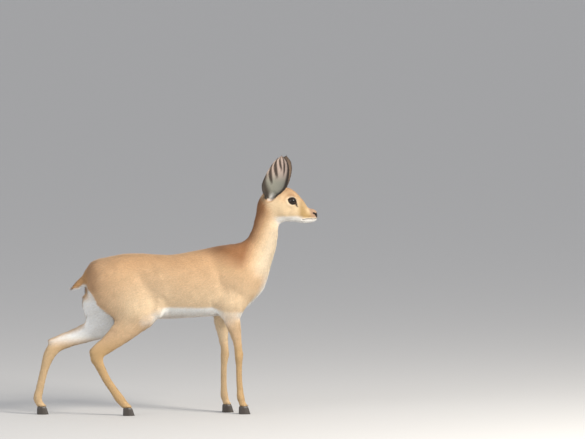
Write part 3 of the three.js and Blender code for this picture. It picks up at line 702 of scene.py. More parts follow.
def hair_tone_group():
    group = bpy.data.node_groups.new("hair_tone", "ShaderNodeTree")
    for name, way, kind in (("Spread", "INPUT", "Float"), ("Grain", "INPUT", "Float"),
                            ("Colour", "OUTPUT", "Color"), ("Height", "OUTPUT", "Float")):
        group.interface.new_socket(name, in_out=way, socket_type="NodeSocket" + kind)
    made, link = group.nodes, group.links.new
    inputs = made.new("NodeGroupInput")
    outputs = made.new("NodeGroupOutput")
    tint = made.new("ShaderNodeAttribute")
    tint.attribute_name = "tint"
    place_on = made.new("ShaderNodeTexCoord")
    grain = made.new("ShaderNodeTexNoise")
    grain.inputs["Detail"].default_value = 4
    link(place_on.outputs["Object"], grain.inputs["Vector"])
    link(inputs.outputs["Grain"], grain.inputs["Scale"])
    centred = made.new("ShaderNodeMath")
    centred.operation = "SUBTRACT"
    link(grain.outputs["Fac"], centred.inputs[0])
    centred.inputs[1].default_value = 0.5
    spread = made.new("ShaderNodeMath")
    spread.operation = "MULTIPLY_ADD"
    link(centred.outputs[0], spread.inputs[0])
    link(inputs.outputs["Spread"], spread.inputs[1])
    spread.inputs[2].default_value = 1.0
    shade = made.new("ShaderNodeVectorMath")
    shade.operation = "SCALE"
    link(tint.outputs["Color"], shade.inputs[0])
    link(spread.outputs[0], shade.inputs["Scale"])
    link(shade.outputs[0], outputs.inputs["Colour"])
    link(grain.outputs["Fac"], outputs.inputs["Height"])
    return group


hair_tone = hair_tone_group()


def new_material(name):
    material = bpy.data.materials.new(name)
    material.use_nodes = True
    made = material.node_tree.nodes
    return material, made["Principled BSDF"], made, material.node_tree.links.new


def raise_bumps(shader, made, link, height, strength, distance):
    raised = made.new("ShaderNodeBump")
    raised.inputs["Strength"].default_value = strength
    raised.inputs["Distance"].default_value = distance
    link(height, raised.inputs["Height"])
    link(raised.outputs["Normal"], shader.inputs["Normal"])


def hair_material(name, spread, grain, roughness, sheen, bump):
    material, shader, made, link = new_material(name)
    toned = made.new("ShaderNodeGroup")
    toned.node_tree = hair_tone
    toned.inputs["Spread"].default_value = spread
    toned.inputs["Grain"].default_value = grain
    link(toned.outputs["Colour"], shader.inputs["Base Color"])
    shader.inputs["Roughness"].default_value = roughness
    shader.inputs["Specular IOR Level"].default_value = 0.25
    shader.inputs["Sheen Weight"].default_value = sheen
    shader.inputs["Sheen Roughness"].default_value = 0.5
    if bump:
        raise_bumps(shader, made, link, toned.outputs["Height"], bump, 0.001)
    return material


# The hide's material; its colour is darkened below as painted shade under the hair
shaded_underfur = hair_material("shaded_underfur", 0.5, 900, 0.85, 0.1, 0.5)
guard_hair = hair_material("guard_hair", 0.35, 220, 0.72, 0.15, 0)

hide.data.materials.append(shaded_underfur)
hide_mm = in_mm(points_of(hide.data))
hide_facing = normals_of(hide.data)
hide_tint = painted(coat_tint(hide_mm, hide_facing), "white", pit * 0.5)
# Painted shade under the hair: the hide takes 0.8 of the coat's colour
set_tint(hide.data, hide_tint * 0.8)

bpy.context.view_layer.objects.active = hide
hide.select_set(True)
bpy.ops.object.mode_set(mode="EDIT")
bpy.ops.mesh.select_all(action="SELECT")
bpy.ops.uv.smart_project(angle_limit=math.radians(66), island_margin=0.002)
bpy.ops.object.mode_set(mode="OBJECT")
hide.select_set(False)
hide.data.uv_layers[0].name = "OFBake"
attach(hide, "root")
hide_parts(*flesh)

# The lie of the coat
# Hair points away from the nose: up the face and down the neck, back along the trunk with a
# little fall, and down every leg. Each path below is a way that the hair runs.
LIE = [
    [(460, 0, 616), (430, 0, 642), (392, 0, 674), (345, 0, 692), (318, 0, 672), (290, 0, 600),
     (262, 0, 520), (214, 0, 470), (100, 0, 502), (-60, 0, 492), (-180, 0, 486), (-236, 0, 452),
     (-300, 0, 398)],
    [(455, 12, 610), (425, 19, 620), (385, 30, 640), (345, 34, 640), (312, 30, 632), (292, 32, 570),
     (262, 38, 500), (214, 44, 440), (188, 46, 384)],
    [(455, 6, 601), (400, 8, 598), (345, 8, 600), (330, 0, 590), (318, 0, 550), (300, 0, 490),
     (262, 0, 420), (236, 0, 360)],
    [(214, 54, 430), (120, 64, 420), (0, 70, 410), (-90, 64, 402), (-170, 54, 390), (-226, 40, 360)],
    [(214, 40, 372), (120, 52, 336), (0, 56, 326), (-80, 52, 322)],
    [(236, 0, 352), (120, 0, 304), (0, 0, 298), (-100, 0, 312), (-160, 0, 330)],
    [(160, 30, 492), (60, 42, 484), (-60, 42, 474), (-160, 40, 462), (-226, 36, 436)],
    [(-160, 48, 440), (-170, 54, 380), (-150, 56, 330)],
    [(205, 44, 440), (198, 46, 390), (186, 44, 345)],
]
LIE_FADE = 20.0
LIE_ROUNDS = 60

runs = []
for path in LIE:
    for a, b in zip(path, path[1:]):
        runs.append((a, b))
        if a[1] or b[1]:
            runs.append((other_side(a), other_side(b)))
for spine in LEGS.values():
    runs += list(zip(spine, spine[1:]))
lie = np.zeros_like(hide_mm)
for a, b in runs:
    way = np.array(b, float) - np.array(a, float)
    way /= np.linalg.norm(way)
    pull = 1 / (line_distance(hide_mm, a, b) + LIE_FADE) ** 3
    lie += pull[:, None] * way
hide_edges = edges_of(hide.data)


def unit(ways):
    return ways / np.maximum(np.linalg.norm(ways, axis=1), 1e-9)[:, None]


def laid_flat(ways, facing):
    return unit(ways - facing * np.sum(ways * facing, axis=1)[:, None])


lie = laid_flat(lie, hide_facing)
for _ in range(LIE_ROUNDS):
    lie = laid_flat(0.4 * lie + 0.6 * neighbour_mean(lie, hide_edges), hide_facing)

# The coat
# Short sleek hair in flat pointed tufts that overlap like thatch, each rooted just under the
# hide's surface: longest on rump and belly, shortest on the muzzle and round the hooves.
COAT_SEED = 11
THIN = 1.0
ROOT_DEPTH = 0.0005
UV_PATCH = 0.0015
SIDE_LEAN = 0.45
BODY_LAYERS = 4.0
LEG_LAYERS = 3.4
HEAD_LAYERS = 3.15
COAT_LIFT = 0.17
COAT_SWIRL = 0.16
TUFT_TURN = 0.16
TUFT_RIDGE = 0.25
TUFT_TAPER = 0.6


def tuft_width(length):
    return 0.42 + 0.085 * length


def hair_length(spots):
    x, y, z = spots.T
    length = 11.5 + 2.5 * smoothstep(-120, -230, x) * smoothstep(280, 330, z)
    length += 2.0 * smoothstep(345, 315, z) * smoothstep(250, 290, z)
    length += (6.2 - length) * smoothstep(290, 210, z)
    length += (4.6 - length) * smoothstep(60, 40, z) + 2.8 * smoothstep(34, 28, z)
    face = smoothstep(-30, 20, faceward(x, z))
    length += (5.6 - length) * face
    length += (3.0 - length) * smoothstep(404, 440, x) * face
    length += (15 - length) * smoothstep(-256, -270, x) * smoothstep(370, 384, z)
    return length


def tris_of(mesh):
    mesh.calc_loop_triangles()
    count = len(mesh.loop_triangles)
    corners = np.empty(count * 3, np.int32)
    loops = np.empty(count * 3, np.int32)
    areas = np.empty(count, np.float32)
    mesh.loop_triangles.foreach_get("vertices", corners)
    mesh.loop_triangles.foreach_get("loops", loops)
    mesh.loop_triangles.foreach_get("area", areas)
    return corners.reshape(-1, 3), loops.reshape(-1, 3), areas.astype(float)


def uvs_of(mesh, name):
    flat = np.empty(len(mesh.loops) * 2, np.float32)
    mesh.uv_layers[name].uv.foreach_get("vector", flat)
    return flat.reshape(-1, 2).astype(float)


def sown(corners, loops, areas, per_mm2, random):
    wanted = areas * 1e6 * per_mm2 * THIN
    number = np.floor(wanted + random.random(len(areas))).astype(int)
    chosen = np.repeat(np.arange(len(areas)), number)
    first, second = random.random((2, len(chosen)))
    flip = first + second > 1
    first[flip], second[flip] = 1 - first[flip], 1 - second[flip]
    shares = np.stack([1 - first - second, first, second], axis=1)
    return corners[chosen], loops[chosen], shares


def blended(values, picked, shares):
    if values.ndim == 1:
        return blended(values[:, None], picked, shares)[:, 0]
    return np.einsum("ijk,ij->ik", values[picked], shares)


def mesh_of_facets(name, vertices, faces, tint, uv, normals, material):
    mesh = bpy.data.meshes.new(name)
    mesh.vertices.add(len(vertices))
    mesh.vertices.foreach_set("co", vertices.astype(np.float32).ravel())
    mesh.loops.add(faces.size)
    mesh.loops.foreach_set("vertex_index", faces.astype(np.int32).ravel())
    mesh.polygons.add(len(faces))
    mesh.polygons.foreach_set("loop_start", np.arange(0, faces.size, 3, dtype=np.int32))
    mesh.polygons.foreach_set("use_smooth", np.ones(len(faces), bool))
    layer = mesh.uv_layers.new(name="OFBake")
    layer.uv.foreach_set("vector", uv[faces.ravel()].astype(np.float32).ravel())
    mesh.materials.append(material)
    mesh.update(calc_edges=True)
    mesh.normals_split_custom_set_from_vertices(normals)
    set_tint(mesh, tint)
    piece = bpy.data.objects.new(name, mesh)
    bpy.context.scene.collection.objects.link(piece)
    return piece


# One tuft for each root: three-sided, along its way and lifted off the hide, bent over its steps.
def tufts(name, roots, facing, ways, length, width, lift, tint, uv, material, bend=0.0, steps=1):
    count = len(roots)
    across = np.cross(facing, ways)
    turn = random.normal(0, TUFT_TURN, count)[:, None]
    ways = ways * np.cos(turn) + across * np.sin(turn)
    across = np.cross(facing, ways)
    length = (length * random.uniform(0.75, 1.2, count) / 1000)[:, None]
    width = (width * random.uniform(0.8, 1.2, count) / 1000)[:, None]
    lift = lift + random.normal(0, 0.03, count)[:, None]
    rings = []
    leans = []
    spine = roots - facing * ROOT_DEPTH
    shades = tint * random.normal(1, 0.06, count)[:, None]
    warmth = random.normal(0, 0.02, count)[:, None] * np.array([1, 0, -1.0])
    shades = np.clip(shades * (1 + warmth), 0, 1)
    colours = []
    for step in range(steps):
        narrow = (1 - step / steps) ** TUFT_TAPER
        half = width * 0.5 * narrow
        ridge = spine + facing * width * TUFT_RIDGE * narrow
        rings.append(np.stack([spine + across * half, spine - across * half, ridge], axis=1))
        leans.append(np.stack([facing + across * SIDE_LEAN, facing - across * SIDE_LEAN, facing], axis=1))
        # Rings darken towards the root: painted shade among the hairs
        shade = 0.78 + 0.3 * step / steps
        colours.append(np.repeat(shades[:, None, :] * shade, 3, axis=1))
        angle = lift + bend * (step + 0.5) / steps
        spine = spine + (ways * np.cos(angle) + facing * np.sin(angle)) * length / steps
    rings.append(spine[:, None, :])
    leans.append((facing + ways * 0.15)[:, None, :])
    colours.append(np.clip(shades * 1.06, 0, 1)[:, None, :])
    vertices = np.concatenate(rings, axis=1).reshape(-1, 3)
    colour = np.concatenate(colours, axis=1).reshape(-1, 3)
    per = 3 * steps + 1
    local = [(0, 1, 2)]
    for step in range(steps - 1):
        a, b = 3 * step, 3 * step + 3
        for i, j in ((1, 0), (0, 2), (2, 1)):
            local += [(a + i, a + j, b + j), (a + i, b + j, b + i)]
    last = 3 * (steps - 1)
    local += [(last + 1, last, per - 1), (last, last + 2, per - 1), (last + 2, last + 1, per - 1)]
    faces = (np.arange(count)[:, None, None] * per + np.array(local)[None]).reshape(-1, 3)
    along = np.concatenate([np.full(3, step / steps) for step in range(steps)] + [np.ones(1)])
    side = np.concatenate([np.array([1.0, -1.0, 0.0])] * steps + [np.zeros(1)])
    patch = np.stack([side, along * 2 - 1], axis=1) * UV_PATCH
    uv = (uv[:, None, :] + patch[None]).reshape(-1, 2)
    normals = unit(np.concatenate(leans, axis=1).reshape(-1, 3))
    return mesh_of_facets(name, vertices, faces, colour, uv, normals, material)


def haired(spots, at_ear):
    keep = (pad_share(spots) < 0.45) & (nostril_gap(spots) > 2.6) & (spots[:, 2] > 24) & (at_ear < 0.5)
    keep &= ~((mouth_gap(spots) < 1.2) & (spots[:, 0] > MOUTH_LINE[0][0]))
    for side in (RIGHT, LEFT):
        _, near, gap = round_eye(spots, side)
        keep &= ~(near & (gap < 3.2))
    return keep


hide_points = points_of(hide.data)
corners, loops, areas = tris_of(hide.data)
hide_uv = uvs_of(hide.data, "OFBake")
tri_mm = hide_mm[corners].mean(axis=1)
tri_x, tri_y, tri_z = tri_mm.T
low_down = tri_z < 300
fore = tri_x > 60
right = tri_y < 0
head_tris = faceward(tri_x, tri_z) > 0
neck_tris = ~head_tris & (neckward(tri_x, tri_z) > 20) & ~low_down & (tri_x > 200)
trunk_tris = ~head_tris & ~neck_tris & ~low_down
regions = {
    "coat_head": head_tris,
    "coat_neck": neck_tris,
    "coat_shoulders": trunk_tris & (tri_x > 120),
    "coat_ribs": trunk_tris & (tri_x <= 120) & (tri_x > -60),
    "coat_rump": trunk_tris & (tri_x <= -60),
    "coat_fore_right": low_down & fore & right,
    "coat_fore_left": low_down & fore & ~right,
    "coat_hind_right": low_down & ~fore & right,
    "coat_hind_left": low_down & ~fore & ~right,
}
random = np.random.default_rng(COAT_SEED)
for name, chosen in regions.items():
    lengths = hair_length(tri_mm[chosen])
    layers = np.where(head_tris, HEAD_LAYERS, np.where(low_down, LEG_LAYERS, BODY_LAYERS))[chosen]
    per_mm2 = layers / (lengths * tuft_width(lengths) * 0.5)
    picked, looped, shares = sown(corners[chosen], loops[chosen], areas[chosen], per_mm2, random)
    roots = blended(hide_points, picked, shares)
    facing = unit(blended(hide_facing, picked, shares))
    ways = laid_flat(blended(lie, picked, shares), facing)
    spots = in_mm(roots)
    swirl = wander(spots, 70, 5) * COAT_SWIRL
    ways = ways * np.cos(swirl)[:, None] + np.cross(facing, ways) * np.sin(swirl)[:, None]
    tint = coat_tint(spots, facing) * (1 + 0.06 * wander(spots, 34, 8))[:, None]
    at_ear = blended(pit, picked, shares)
    fluff = smoothstep(0.02, 0.3, at_ear) * smoothstep(679, 671, spots[:, 2])
    lengths = hair_length(spots) * (1 + 1.3 * fluff)
    tint = painted(tint, "white", fluff * 0.5 * smoothstep(300, 306, spots[:, 0]))
    tint = painted(tint, "ear_dark", fluff * 0.7 * smoothstep(305, 299, spots[:, 0]))
    ways = laid_flat(ways * (1 - fluff[:, None]) + np.array([0.1, 0, 1]) * fluff[:, None], facing)
    uv = blended(hide_uv, looped, shares)
    keep = haired(spots, at_ear)
    coat = tufts(name, roots[keep], facing[keep], ways[keep], lengths[keep], tuft_width(lengths)[keep],
                 COAT_LIFT, tint[keep], uv[keep], guard_hair)
    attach(coat, "root")

# Whiskers
# A few stiff dark hairs, rooted among the short ones, stand out from each side of the upper lip
# and from the chin.
WHISKERS = 34
WHISKER_LENGTH = (9, 15)
WHISKER_WIDTH = 0.3
WHISKER_LIFT = 0.75
WHISKER_BEND = -0.5
x, y, z = hide_mm.T
on_lip = (x > 430) & (x < 448) & (np.abs(y) > 6) & (((z > 604.5) & (z < 612)) | (z < 597))
chosen = random.choice(np.flatnonzero(on_lip), WHISKERS, replace=False)
facing = hide_facing[chosen]
ways = laid_flat(np.tile([-1.0, 0, -0.35], (WHISKERS, 1)), facing)
lengths = random.uniform(*WHISKER_LENGTH, WHISKERS)
widths = np.full(WHISKERS, WHISKER_WIDTH)
tint = np.tile(tone("tear"), (WHISKERS, 1))
uv = np.full((WHISKERS, 2), 0.5)
whiskers = tufts("whiskers", hide_points[chosen], facing, ways, lengths, widths, WHISKER_LIFT, tint,
                 uv, guard_hair, WHISKER_BEND, 3)
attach(whiskers, "root")

# Ears
# Tall pointed cups, rolled into a tube at the root: whitish inside, painted grey as shade in the
# cup, with dark fingers that slant to the rear edge, dusky behind, with short hair on both walls.
EAR_HAIR = 5.0
EAR_LAYERS = 2.4
# Dark fingers inside: how far round the cup from its rear edge to its front one, at the foot
# and at the head, where each starts and ends up the ear, and half its width.
FINGERS = [
    # The first, wide finger low at the rear edge is partly the ear's dark margin and partly painted shade
    # inside the cup
    (-0.50, -1.30, 0.04, 0.62, 0.66),
    (-0.20, -1.04, 0.52, 0.79, 0.14),
    (0.04, -1.02, 0.61, 0.93, 0.16),
    (0.22, -0.60, 0.72, 1.0, 0.13),
    (0.50, 0.32, 0.66, 1.0, 0.09),
    (0.96, 0.97, 0.16, 0.96, 0.20),
]


def ear_tint(s, t, inside):
    foot = smoothstep(0.3, 0.12, s) * smoothstep(0.7, 0.2, t) * smoothstep(-0.6, -0.3, t)
    rim = smoothstep(0.75, 0.95, np.abs(t)) * smoothstep(0.14, 0.24, s)
    outer = np.tile(tone("ear_back"), (len(s), 1))
    outer = painted(outer, "ear_dark", smoothstep(0.5, 1.0, s) * 0.75)
    outer = painted(outer, "fawn", smoothstep(0.34, 0.16, s) * smoothstep(-0.4, 0.2, t) * 0.8)
    outer = painted(outer, "ear_dark", smoothstep(0.3, 0.1, s) * smoothstep(0.1, -0.6, t) * 0.7)
    outer = painted(outer, "ear_dark", rim * 0.6)
    # Inside: whitish hair painted grey as shade in the cup, paler higher up
    inner = np.tile(tone("inner_ear_in_shade"), (len(s), 1))
    inner = painted(inner, "inner_pale", smoothstep(0.52, 0.72, s))
    inner = painted(inner, "white", foot * 0.6)
    # Painted shade deep in the cup, low down towards the front edge
    inner = painted(inner, "inner_deep_shade", smoothstep(0.4, 0.8, t) * smoothstep(0.62, 0.4, s) * 0.5)
    for foot_at, head_at, low, high, half in FINGERS:
        share = np.clip((s - low) / (high - low), 0, 1)
        middle = foot_at + (head_at - foot_at) * share
        width = half * (0.55 + 0.6 * np.sin(math.pi * np.clip(share, 0.02, 0.9)))
        finger = smoothstep(1.4, 0.6, np.abs(t - middle) / width) * 0.94
        finger = finger * smoothstep(low - 0.05, low + 0.04, s) * smoothstep(high + 0.06, high - 0.02, s)
        inner = painted(inner, "ear_dark", finger)
    return np.where(inside[:, None], inner, outer)


def subdivided(piece, levels):
    rounded = piece.modifiers.new("round", "SUBSURF")
    rounded.levels = levels
    rounded.render_levels = levels
    applied(piece)


# A grid from edge to edge and root to tip, bent into the ear, with its place on the ear kept.
def ear_wall(name):
    ear = bmesh.new()
    bmesh.ops.create_grid(ear, x_segments=12, y_segments=20, size=1)
    layer = ear.loops.layers.uv.new("roll")
    for face in ear.faces:
        for loop in face.loops:
            loop[layer].uv = ((loop.vert.co.x + 1) / 2, (loop.vert.co.y + 1) / 2)
    thin = ear.verts.layers.deform.verify()
    for vertex in ear.verts:
        t = vertex.co.x
        s = (vertex.co.y + 1) / 2
        vertex[thin][0] = (1 - 0.55 * abs(t) ** 3) * (1 - 0.45 * s)
        vertex.co = ear_spot(s, t)
    shell = linked(name, ear, [ear_hair])
    shell.vertex_groups.new(name="thin")
    wall = shell.modifiers.new("wall", "SOLIDIFY")
    wall.thickness = EAR_THICK
    wall.offset = 0
    wall.vertex_group = "thin"
    wall.thickness_vertex_group = 0.2
    subdivided(shell, 2)
    return shell


# The ear's two walls lie side by side in its map: inside on the left, outside on the right.
def unwrap_ear(shell, starts, st, inside):
    halves = np.empty((len(starts), 2))
    for polygon in shell.data.polygons:
        span = slice(polygon.loop_start, polygon.loop_start + polygon.loop_total)
        within = inside[starts[span]].mean() > 0.5
        halves[span, 0] = st[starts[span], 0] * 0.48 + (0.01 if within else 0.51)
        halves[span, 1] = st[starts[span], 1] * 0.98 + 0.01
    unwrap = shell.data.uv_layers.new(name="OFBake")
    unwrap.uv.foreach_set("vector", halves.astype(np.float32).ravel())
    shell.data.uv_layers.remove(shell.data.uv_layers["roll"])


ear_hair = hair_material("ear_hair", 0.3, 300, 0.75, 0.1, 0.2)
for side, name in ((RIGHT, "ear_right"), (LEFT, "ear_left")):
    shell = ear_wall(name + "_shell")
    starts = np.empty(len(shell.data.loops), np.int32)
    shell.data.loops.foreach_get("vertex_index", starts)
    st = np.zeros((len(shell.data.vertices), 2))
    st[starts] = uvs_of(shell.data, "roll")
    s, t = st[:, 1], st[:, 0] * 2 - 1
    middle = np.array([ear_spot(a, b) for a, b in zip(s, t)])
    centre_line = np.array([(ear_row(a)[1] + ear_row(a)[2]) / 2 for a in s]) / 1000
    hub = np.stack([centre_line, middle[:, 1] + 0.03, middle[:, 2]], axis=1)
    inside = np.sum(normals_of(shell.data) * (hub - middle), axis=1) > 0
    # Painted shade under the hair: the walls take 0.85 of their hair's colour
    set_tint(shell.data, ear_tint(s, t, inside) * 0.85)
    up_ear = np.array([ear_spot(min(a + 0.01, 1), b) - ear_spot(min(a, 0.99), b) for a, b in zip(s, t)])
    turned = ear_turn(side, EAR_LEAN[name])
    shell.data.transform(turned)
    if side == RIGHT:
        shell.data.flip_normals()
    smooth_shaded(shell)
    unwrap_ear(shell, starts, st, inside)
    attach(shell, "root")
    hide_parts(name)

    ear_corners, ear_loops, ear_areas = tris_of(shell.data)
    thick = EAR_LAYERS / (EAR_HAIR * tuft_width(EAR_HAIR) * 0.5)
    thick = thick * smoothstep(0.03, 0.1, s[ear_corners].mean(axis=1))
    picked, looped, shares = sown(ear_corners, ear_loops, ear_areas, thick, random)
    roots = blended(points_of(shell.data), picked, shares)
    facing = unit(blended(normals_of(shell.data), picked, shares))
    ways = laid_flat(blended(up_ear @ np.array(turned.to_3x3()).T, picked, shares), facing)
    root_s, root_t = blended(s, picked, shares), blended(t, picked, shares)
    within = blended(inside.astype(float), picked, shares) > 0.5
    lengths = EAR_HAIR * (1 + 0.5 * smoothstep(0.8, 0.95, np.abs(root_t)) * within
                          + 0.7 * smoothstep(0.4, 0.2, root_s) * within)
    coat = tufts(name + "_hair", roots, facing, ways, lengths, tuft_width(lengths) * 0.8, 0.12,
                 ear_tint(root_s, root_t, within), blended(uvs_of(shell.data, "OFBake"), looped, shares),
                 ear_hair)
    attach(coat, "root")

# Eyes
# Large dark glassy globes, almost all pupil in daylight: a brown iris round a wide level
# pupil, under a clear swell at the front.
SWELL_HALF = 9
SWELL_HIGH = 0.9
PUPIL_LONG = 6.4
PUPIL_HIGH = 3.6
IRIS_AT = 7
PUPIL_SHADE = 0.003
RIM_SHADE = 0.004
IRIS_SHADE = 0.014
IRIS_WARMTH = (1.25, 0.8, 0.55)
eye_glass, gloss, made, link = new_material("eye_glass")
gloss.inputs["Roughness"].default_value = 0.04
gloss.inputs["IOR"].default_value = 1.37
tinted = made.new("ShaderNodeAttribute")
tinted.attribute_name = "tint"
link(tinted.outputs["Color"], gloss.inputs["Base Color"])
for side, name in ((RIGHT, "eye_right"), (LEFT, "eye_left")):
    basis = Matrix(eye_axes(side)).transposed()
    globe = bmesh.new()
    bmesh.ops.create_uvsphere(globe, u_segments=64, v_segments=48, radius=EYE_RADIUS / 1000)
    shades = []
    for vertex in globe.verts:
        across, up = vertex.co.x * 1000, vertex.co.y * 1000
        spread = math.hypot(across, up)
        if vertex.co.z > 0 and spread < SWELL_HALF:
            vertex.co.z += SWELL_HIGH / 1000 * (1 - (spread / SWELL_HALF) ** 2)
        iris = max(0.0, 1 - abs(spread - IRIS_AT) / 4) * 0.7 + 0.3
        in_pupil = math.hypot(across / PUPIL_LONG, up / PUPIL_HIGH) < 1
        shade = PUPIL_SHADE if in_pupil else RIM_SHADE + IRIS_SHADE * iris
        shades.append([shade * part for part in IRIS_WARMTH])
        vertex.co = basis @ vertex.co + place(*eye_at(side))
    if basis.determinant() < 0:
        bmesh.ops.reverse_faces(globe, faces=globe.faces)
    eyeball = linked(name + "_globe", globe, [eye_glass])
    set_tint(eyeball.data, np.array(shades))
    smooth_shaded(eyeball)
    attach(eyeball, "root")
    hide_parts(name)

# Eyelids
# Black bare rims that meet in a point at each corner, thick enough to catch the light, and
# running out under the short hair of the brow and cheek. The upper lid carries lashes.
LID_RINGS = [
    (-1.6, -1.2), (-0.5, 0.15), (-0.25, 0.9), (0.35, 1.5), (1.1, 1.75),
    (2.0, 1.5), (3.0, 0.9), (4.5, 0.0), (6.5, -1.2),
]
LID_STEPS = 72
LID_HAIR = 3.2
LID_THICK = 3.4
LASHES = 44
LASH_LENGTH = 5.6
LASH_WIDTH = 0.42
LASH_BEND = 0.9


def turn_of(vertex):
    return math.atan2(vertex.co.y, vertex.co.x)


def slit_reach(turn, away):
    low, high = 0.0, 30.0
    for _ in range(30):
        middle = (low + high) / 2
        if slit_gap(middle * math.cos(turn), middle * math.sin(turn)) < away:
            low = middle
        else:
            high = middle
    return low


# A spot on a lid's ring, drawn down on to the hide where the ring runs out under the hair.
def lid_spot(centre, axes, turn, away, proud):
    reach = slit_reach(turn, away)
    a, b = reach * math.cos(turn), reach * math.sin(turn)
    depth = math.sqrt(max((EYE_RADIUS + proud) ** 2 - a * a - b * b, 9.0))
    spot = centre + (axes[0] * a + axes[1] * b + axes[2] * depth) / 1000
    if away < 3.5:
        return spot
    toward = (spot - centre).normalized()
    hit = hide_tree.ray_cast(centre + toward * 0.04, -toward)[0]
    if hit is None:
        return spot
    under = hit - toward * (0.0001 if away < 5 else 0.0009)
    return spot.lerp(under, min(1, (away - 3.0) / 2))


hide_tree = BVHTree.FromObject(hide, bpy.context.evaluated_depsgraph_get())
rim_skin = hair_material("rim_skin", 0.3, 700, 0.5, 0.0, 0.3)
for side, name in ((RIGHT, "lids_right"), (LEFT, "lids_left")):
    axes = eye_axes(side)
    centre = place(*eye_at(side))
    lids = bmesh.new()
    bmesh.ops.create_circle(lids, segments=LID_STEPS, radius=1)
    rows = [sorted(lids.verts, key=turn_of)]
    turns = [turn_of(vertex) for vertex in rows[0]]
    edges = lids.edges[:]
    for _ in LID_RINGS[1:]:
        grown = bmesh.ops.extrude_edge_only(lids, edges=edges)["geom"]
        edges = [g for g in grown if isinstance(g, bmesh.types.BMEdge)]
        rows.append(sorted((g for g in grown if isinstance(g, bmesh.types.BMVert)), key=turn_of))
    for (away, proud), row in zip(LID_RINGS, rows):
        for vertex, turn in zip(row, turns):
            vertex.co = lid_spot(centre, axes, turn, away, proud)
    bmesh.ops.recalc_face_normals(lids, faces=lids.faces)
    rim = linked(name, lids, [rim_skin])
    outward = np.sum(normals_of(rim.data) * (points_of(rim.data) - np.array(centre)), axis=1).mean()
    if outward < 0:
        rim.data.flip_normals()
    subdivided(rim, 1)
    rim_points = points_of(rim.data)
    rim_facing = normals_of(rim.data)
    set_tint(rim.data, coat_tint(in_mm(rim_points), rim_facing))
    smooth_shaded(rim)
    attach(rim, "root")

    rim_corners, rim_loops, rim_areas = tris_of(rim.data)
    around, _, gap = round_eye(in_mm(rim_points), side)
    thick = LID_THICK * (gap[rim_corners].mean(axis=1) > 3.0)
    picked, looped, shares = sown(rim_corners, rim_loops, rim_areas, thick, random)
    roots = blended(rim_points, picked, shares)
    facing = unit(blended(rim_facing, picked, shares))
    spread = laid_flat(blended(around, picked, shares), facing)
    ways = laid_flat(spread * 0.5 + np.array([-1, 0, 0.15]), facing)
    lengths = np.full(len(roots), LID_HAIR)
    tint = coat_tint(in_mm(roots), facing)
    uv = np.stack([looped[:, 0] / len(rim.data.loops), shares[:, 0]], axis=1) * 0.99
    hair = tufts(name + "_hair", roots, facing, ways, lengths, tuft_width(lengths) * 0.8, 0.14, tint, uv,
                 guard_hair)
    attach(hair, "root")

    ahead, above, look = (np.array(axis) for axis in axes)
    share = np.linspace(-0.85, 0.9, LASHES)[:, None]
    a = share * SLIT_HALF
    b = np.sqrt(arc ** 2 - a ** 2) - (arc - SLIT_RISE) + 0.9
    out = np.sqrt(np.maximum((EYE_RADIUS + 1.3) ** 2 - a ** 2 - b ** 2, 4))
    roots = np.array(centre) + (ahead * a + above * b + look * out) / 1000
    ways = unit(look + ahead * share * 0.5 + above * 0.15)
    facing = laid_flat(np.tile(above, (LASHES, 1)), ways)
    tint = np.tile(tone("rim"), (LASHES, 1))
    lashes = tufts(name + "_lashes", roots, facing, ways, np.full(LASHES, LASH_LENGTH),
                   np.full(LASHES, LASH_WIDTH), 0.15, tint, np.repeat(share * 0.4 + 0.5, 2, axis=1),
                   guard_hair, LASH_BEND, 3)
    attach(lashes, "root")

# Hooves
# Two narrow pointed claws of grey-brown horn on each foot, flat below, faintly ringed, and
# rounded in at the top, where the hair of the pastern hangs over them.
HORN_CELL = 0.0011
TOE_REACH = 9
CLAW_NARROW = 0.06
TOP_NARROW = 0.2
TOP_SHORT = 0.12
SOLE_WITHIN = 0.0009
HORN_ROUNDS = 12
horn, shader, made, link = new_material("horn")
where = made.new("ShaderNodeTexCoord")
rings = made.new("ShaderNodeTexWave")
rings.bands_direction = "Z"
rings.inputs["Scale"].default_value = 210
rings.inputs["Distortion"].default_value = 4.0
rings.inputs["Detail"].default_value = 3
link(where.outputs["Object"], rings.inputs["Vector"])
shades = made.new("ShaderNodeValToRGB")
shades.color_ramp.elements[0].color = (0.03, 0.024, 0.02, 1)
shades.color_ramp.elements[1].color = (0.062, 0.05, 0.041, 1)
link(rings.outputs["Fac"], shades.inputs["Fac"])
link(shades.outputs["Color"], shader.inputs["Base Color"])
shader.inputs["Roughness"].default_value = 0.42
raise_bumps(shader, made, link, rings.outputs["Fac"], 0.12, 0.0004)
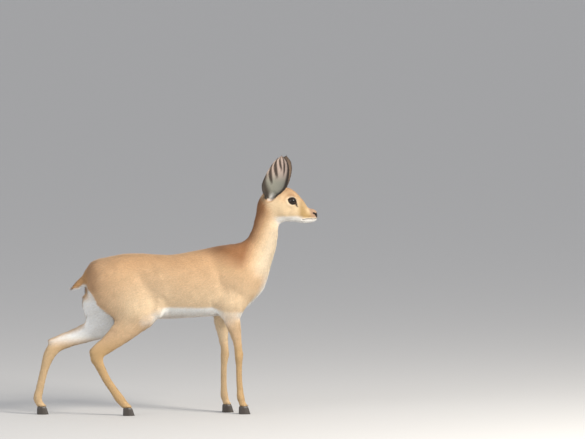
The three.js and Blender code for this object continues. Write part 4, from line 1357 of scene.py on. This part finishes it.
for leg in LEGS:
    for claw in ("inner", "outer"):
        name = f"{leg}_hoof_{claw}"
        hoof = linked(name + "_horn", merged(name), [horn])
        remeshed(hoof, HORN_CELL)
        spots = points_of(hoof.data)
        low, high = spots.min(axis=0), spots.max(axis=0)
        up = np.clip(spots[:, 2] / high[2], 0, 1)
        round_top = smoothstep(0.72, 1.0, up) ** 2
        middle = (low + high) / 2 - np.array([TOE_REACH / 2000, 0, 0]) * up[:, None]
        narrow = 1 - CLAW_NARROW * up - TOP_NARROW * round_top
        spots[:, 1] = middle[:, 1] + (spots[:, 1] - middle[:, 1]) * narrow
        spots[:, 0] = middle[:, 0] + (spots[:, 0] - middle[:, 0]) * (1 - TOP_SHORT * round_top)
        ground = spots[:, 2] < SOLE_WITHIN
        spots = evened(spots, edges_of(hoof.data), np.where(ground, 0.0, 1.0), HORN_ROUNDS)
        spots[:, 2] = np.where(ground, 0, np.maximum(spots[:, 2], 0))
        set_points(hoof.data, spots)
        smooth_shaded(hoof)
        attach(hoof, "root")
        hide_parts(name)

# The floor and the light
# A plain pale sheet under the ewe, a soft lamp ahead of it on the camera's side, a weaker one
# behind the camera and the light of a pale room all round.
floor_mesh = bmesh.new()
bmesh.ops.create_grid(floor_mesh, x_segments=1, y_segments=1, size=40)
floor = linked("floor", floor_mesh)
paper, sheet, _, _ = new_material("paper")
sheet.inputs["Base Color"].default_value = (0.5, 0.49, 0.475, 1)
sheet.inputs["Roughness"].default_value = 0.9
floor.data.materials.append(paper)

world = bpy.data.worlds.new("studio")
world.use_nodes = True
world.node_tree.nodes["Background"].inputs["Color"].default_value = (0.93, 0.95, 1.0, 1)
world.node_tree.nodes["Background"].inputs["Strength"].default_value = 0.72
bpy.context.scene.world = world
bpy.context.scene.view_settings.view_transform = "Standard"


def lamp(name, at, size, watts, aim, colour):
    light = bpy.data.lights.new(name, "AREA")
    light.size = size
    light.energy = watts
    light.color = colour
    holder = bpy.data.objects.new(name, light)
    holder.location = at
    holder.rotation_euler = (Vector(at) - Vector(aim)).to_track_quat("Z", "Y").to_euler()
    bpy.context.scene.collection.objects.link(holder)


lamp("key", (2.4, -2.6, 2.6), 1.3, 225, (0, 0, 0.4), (1.0, 0.95, 0.87))
lamp("fill", (-3.5, -2.5, 1.8), 2.5, 60, (0, 0, 0.4), (0.95, 0.97, 1.0))
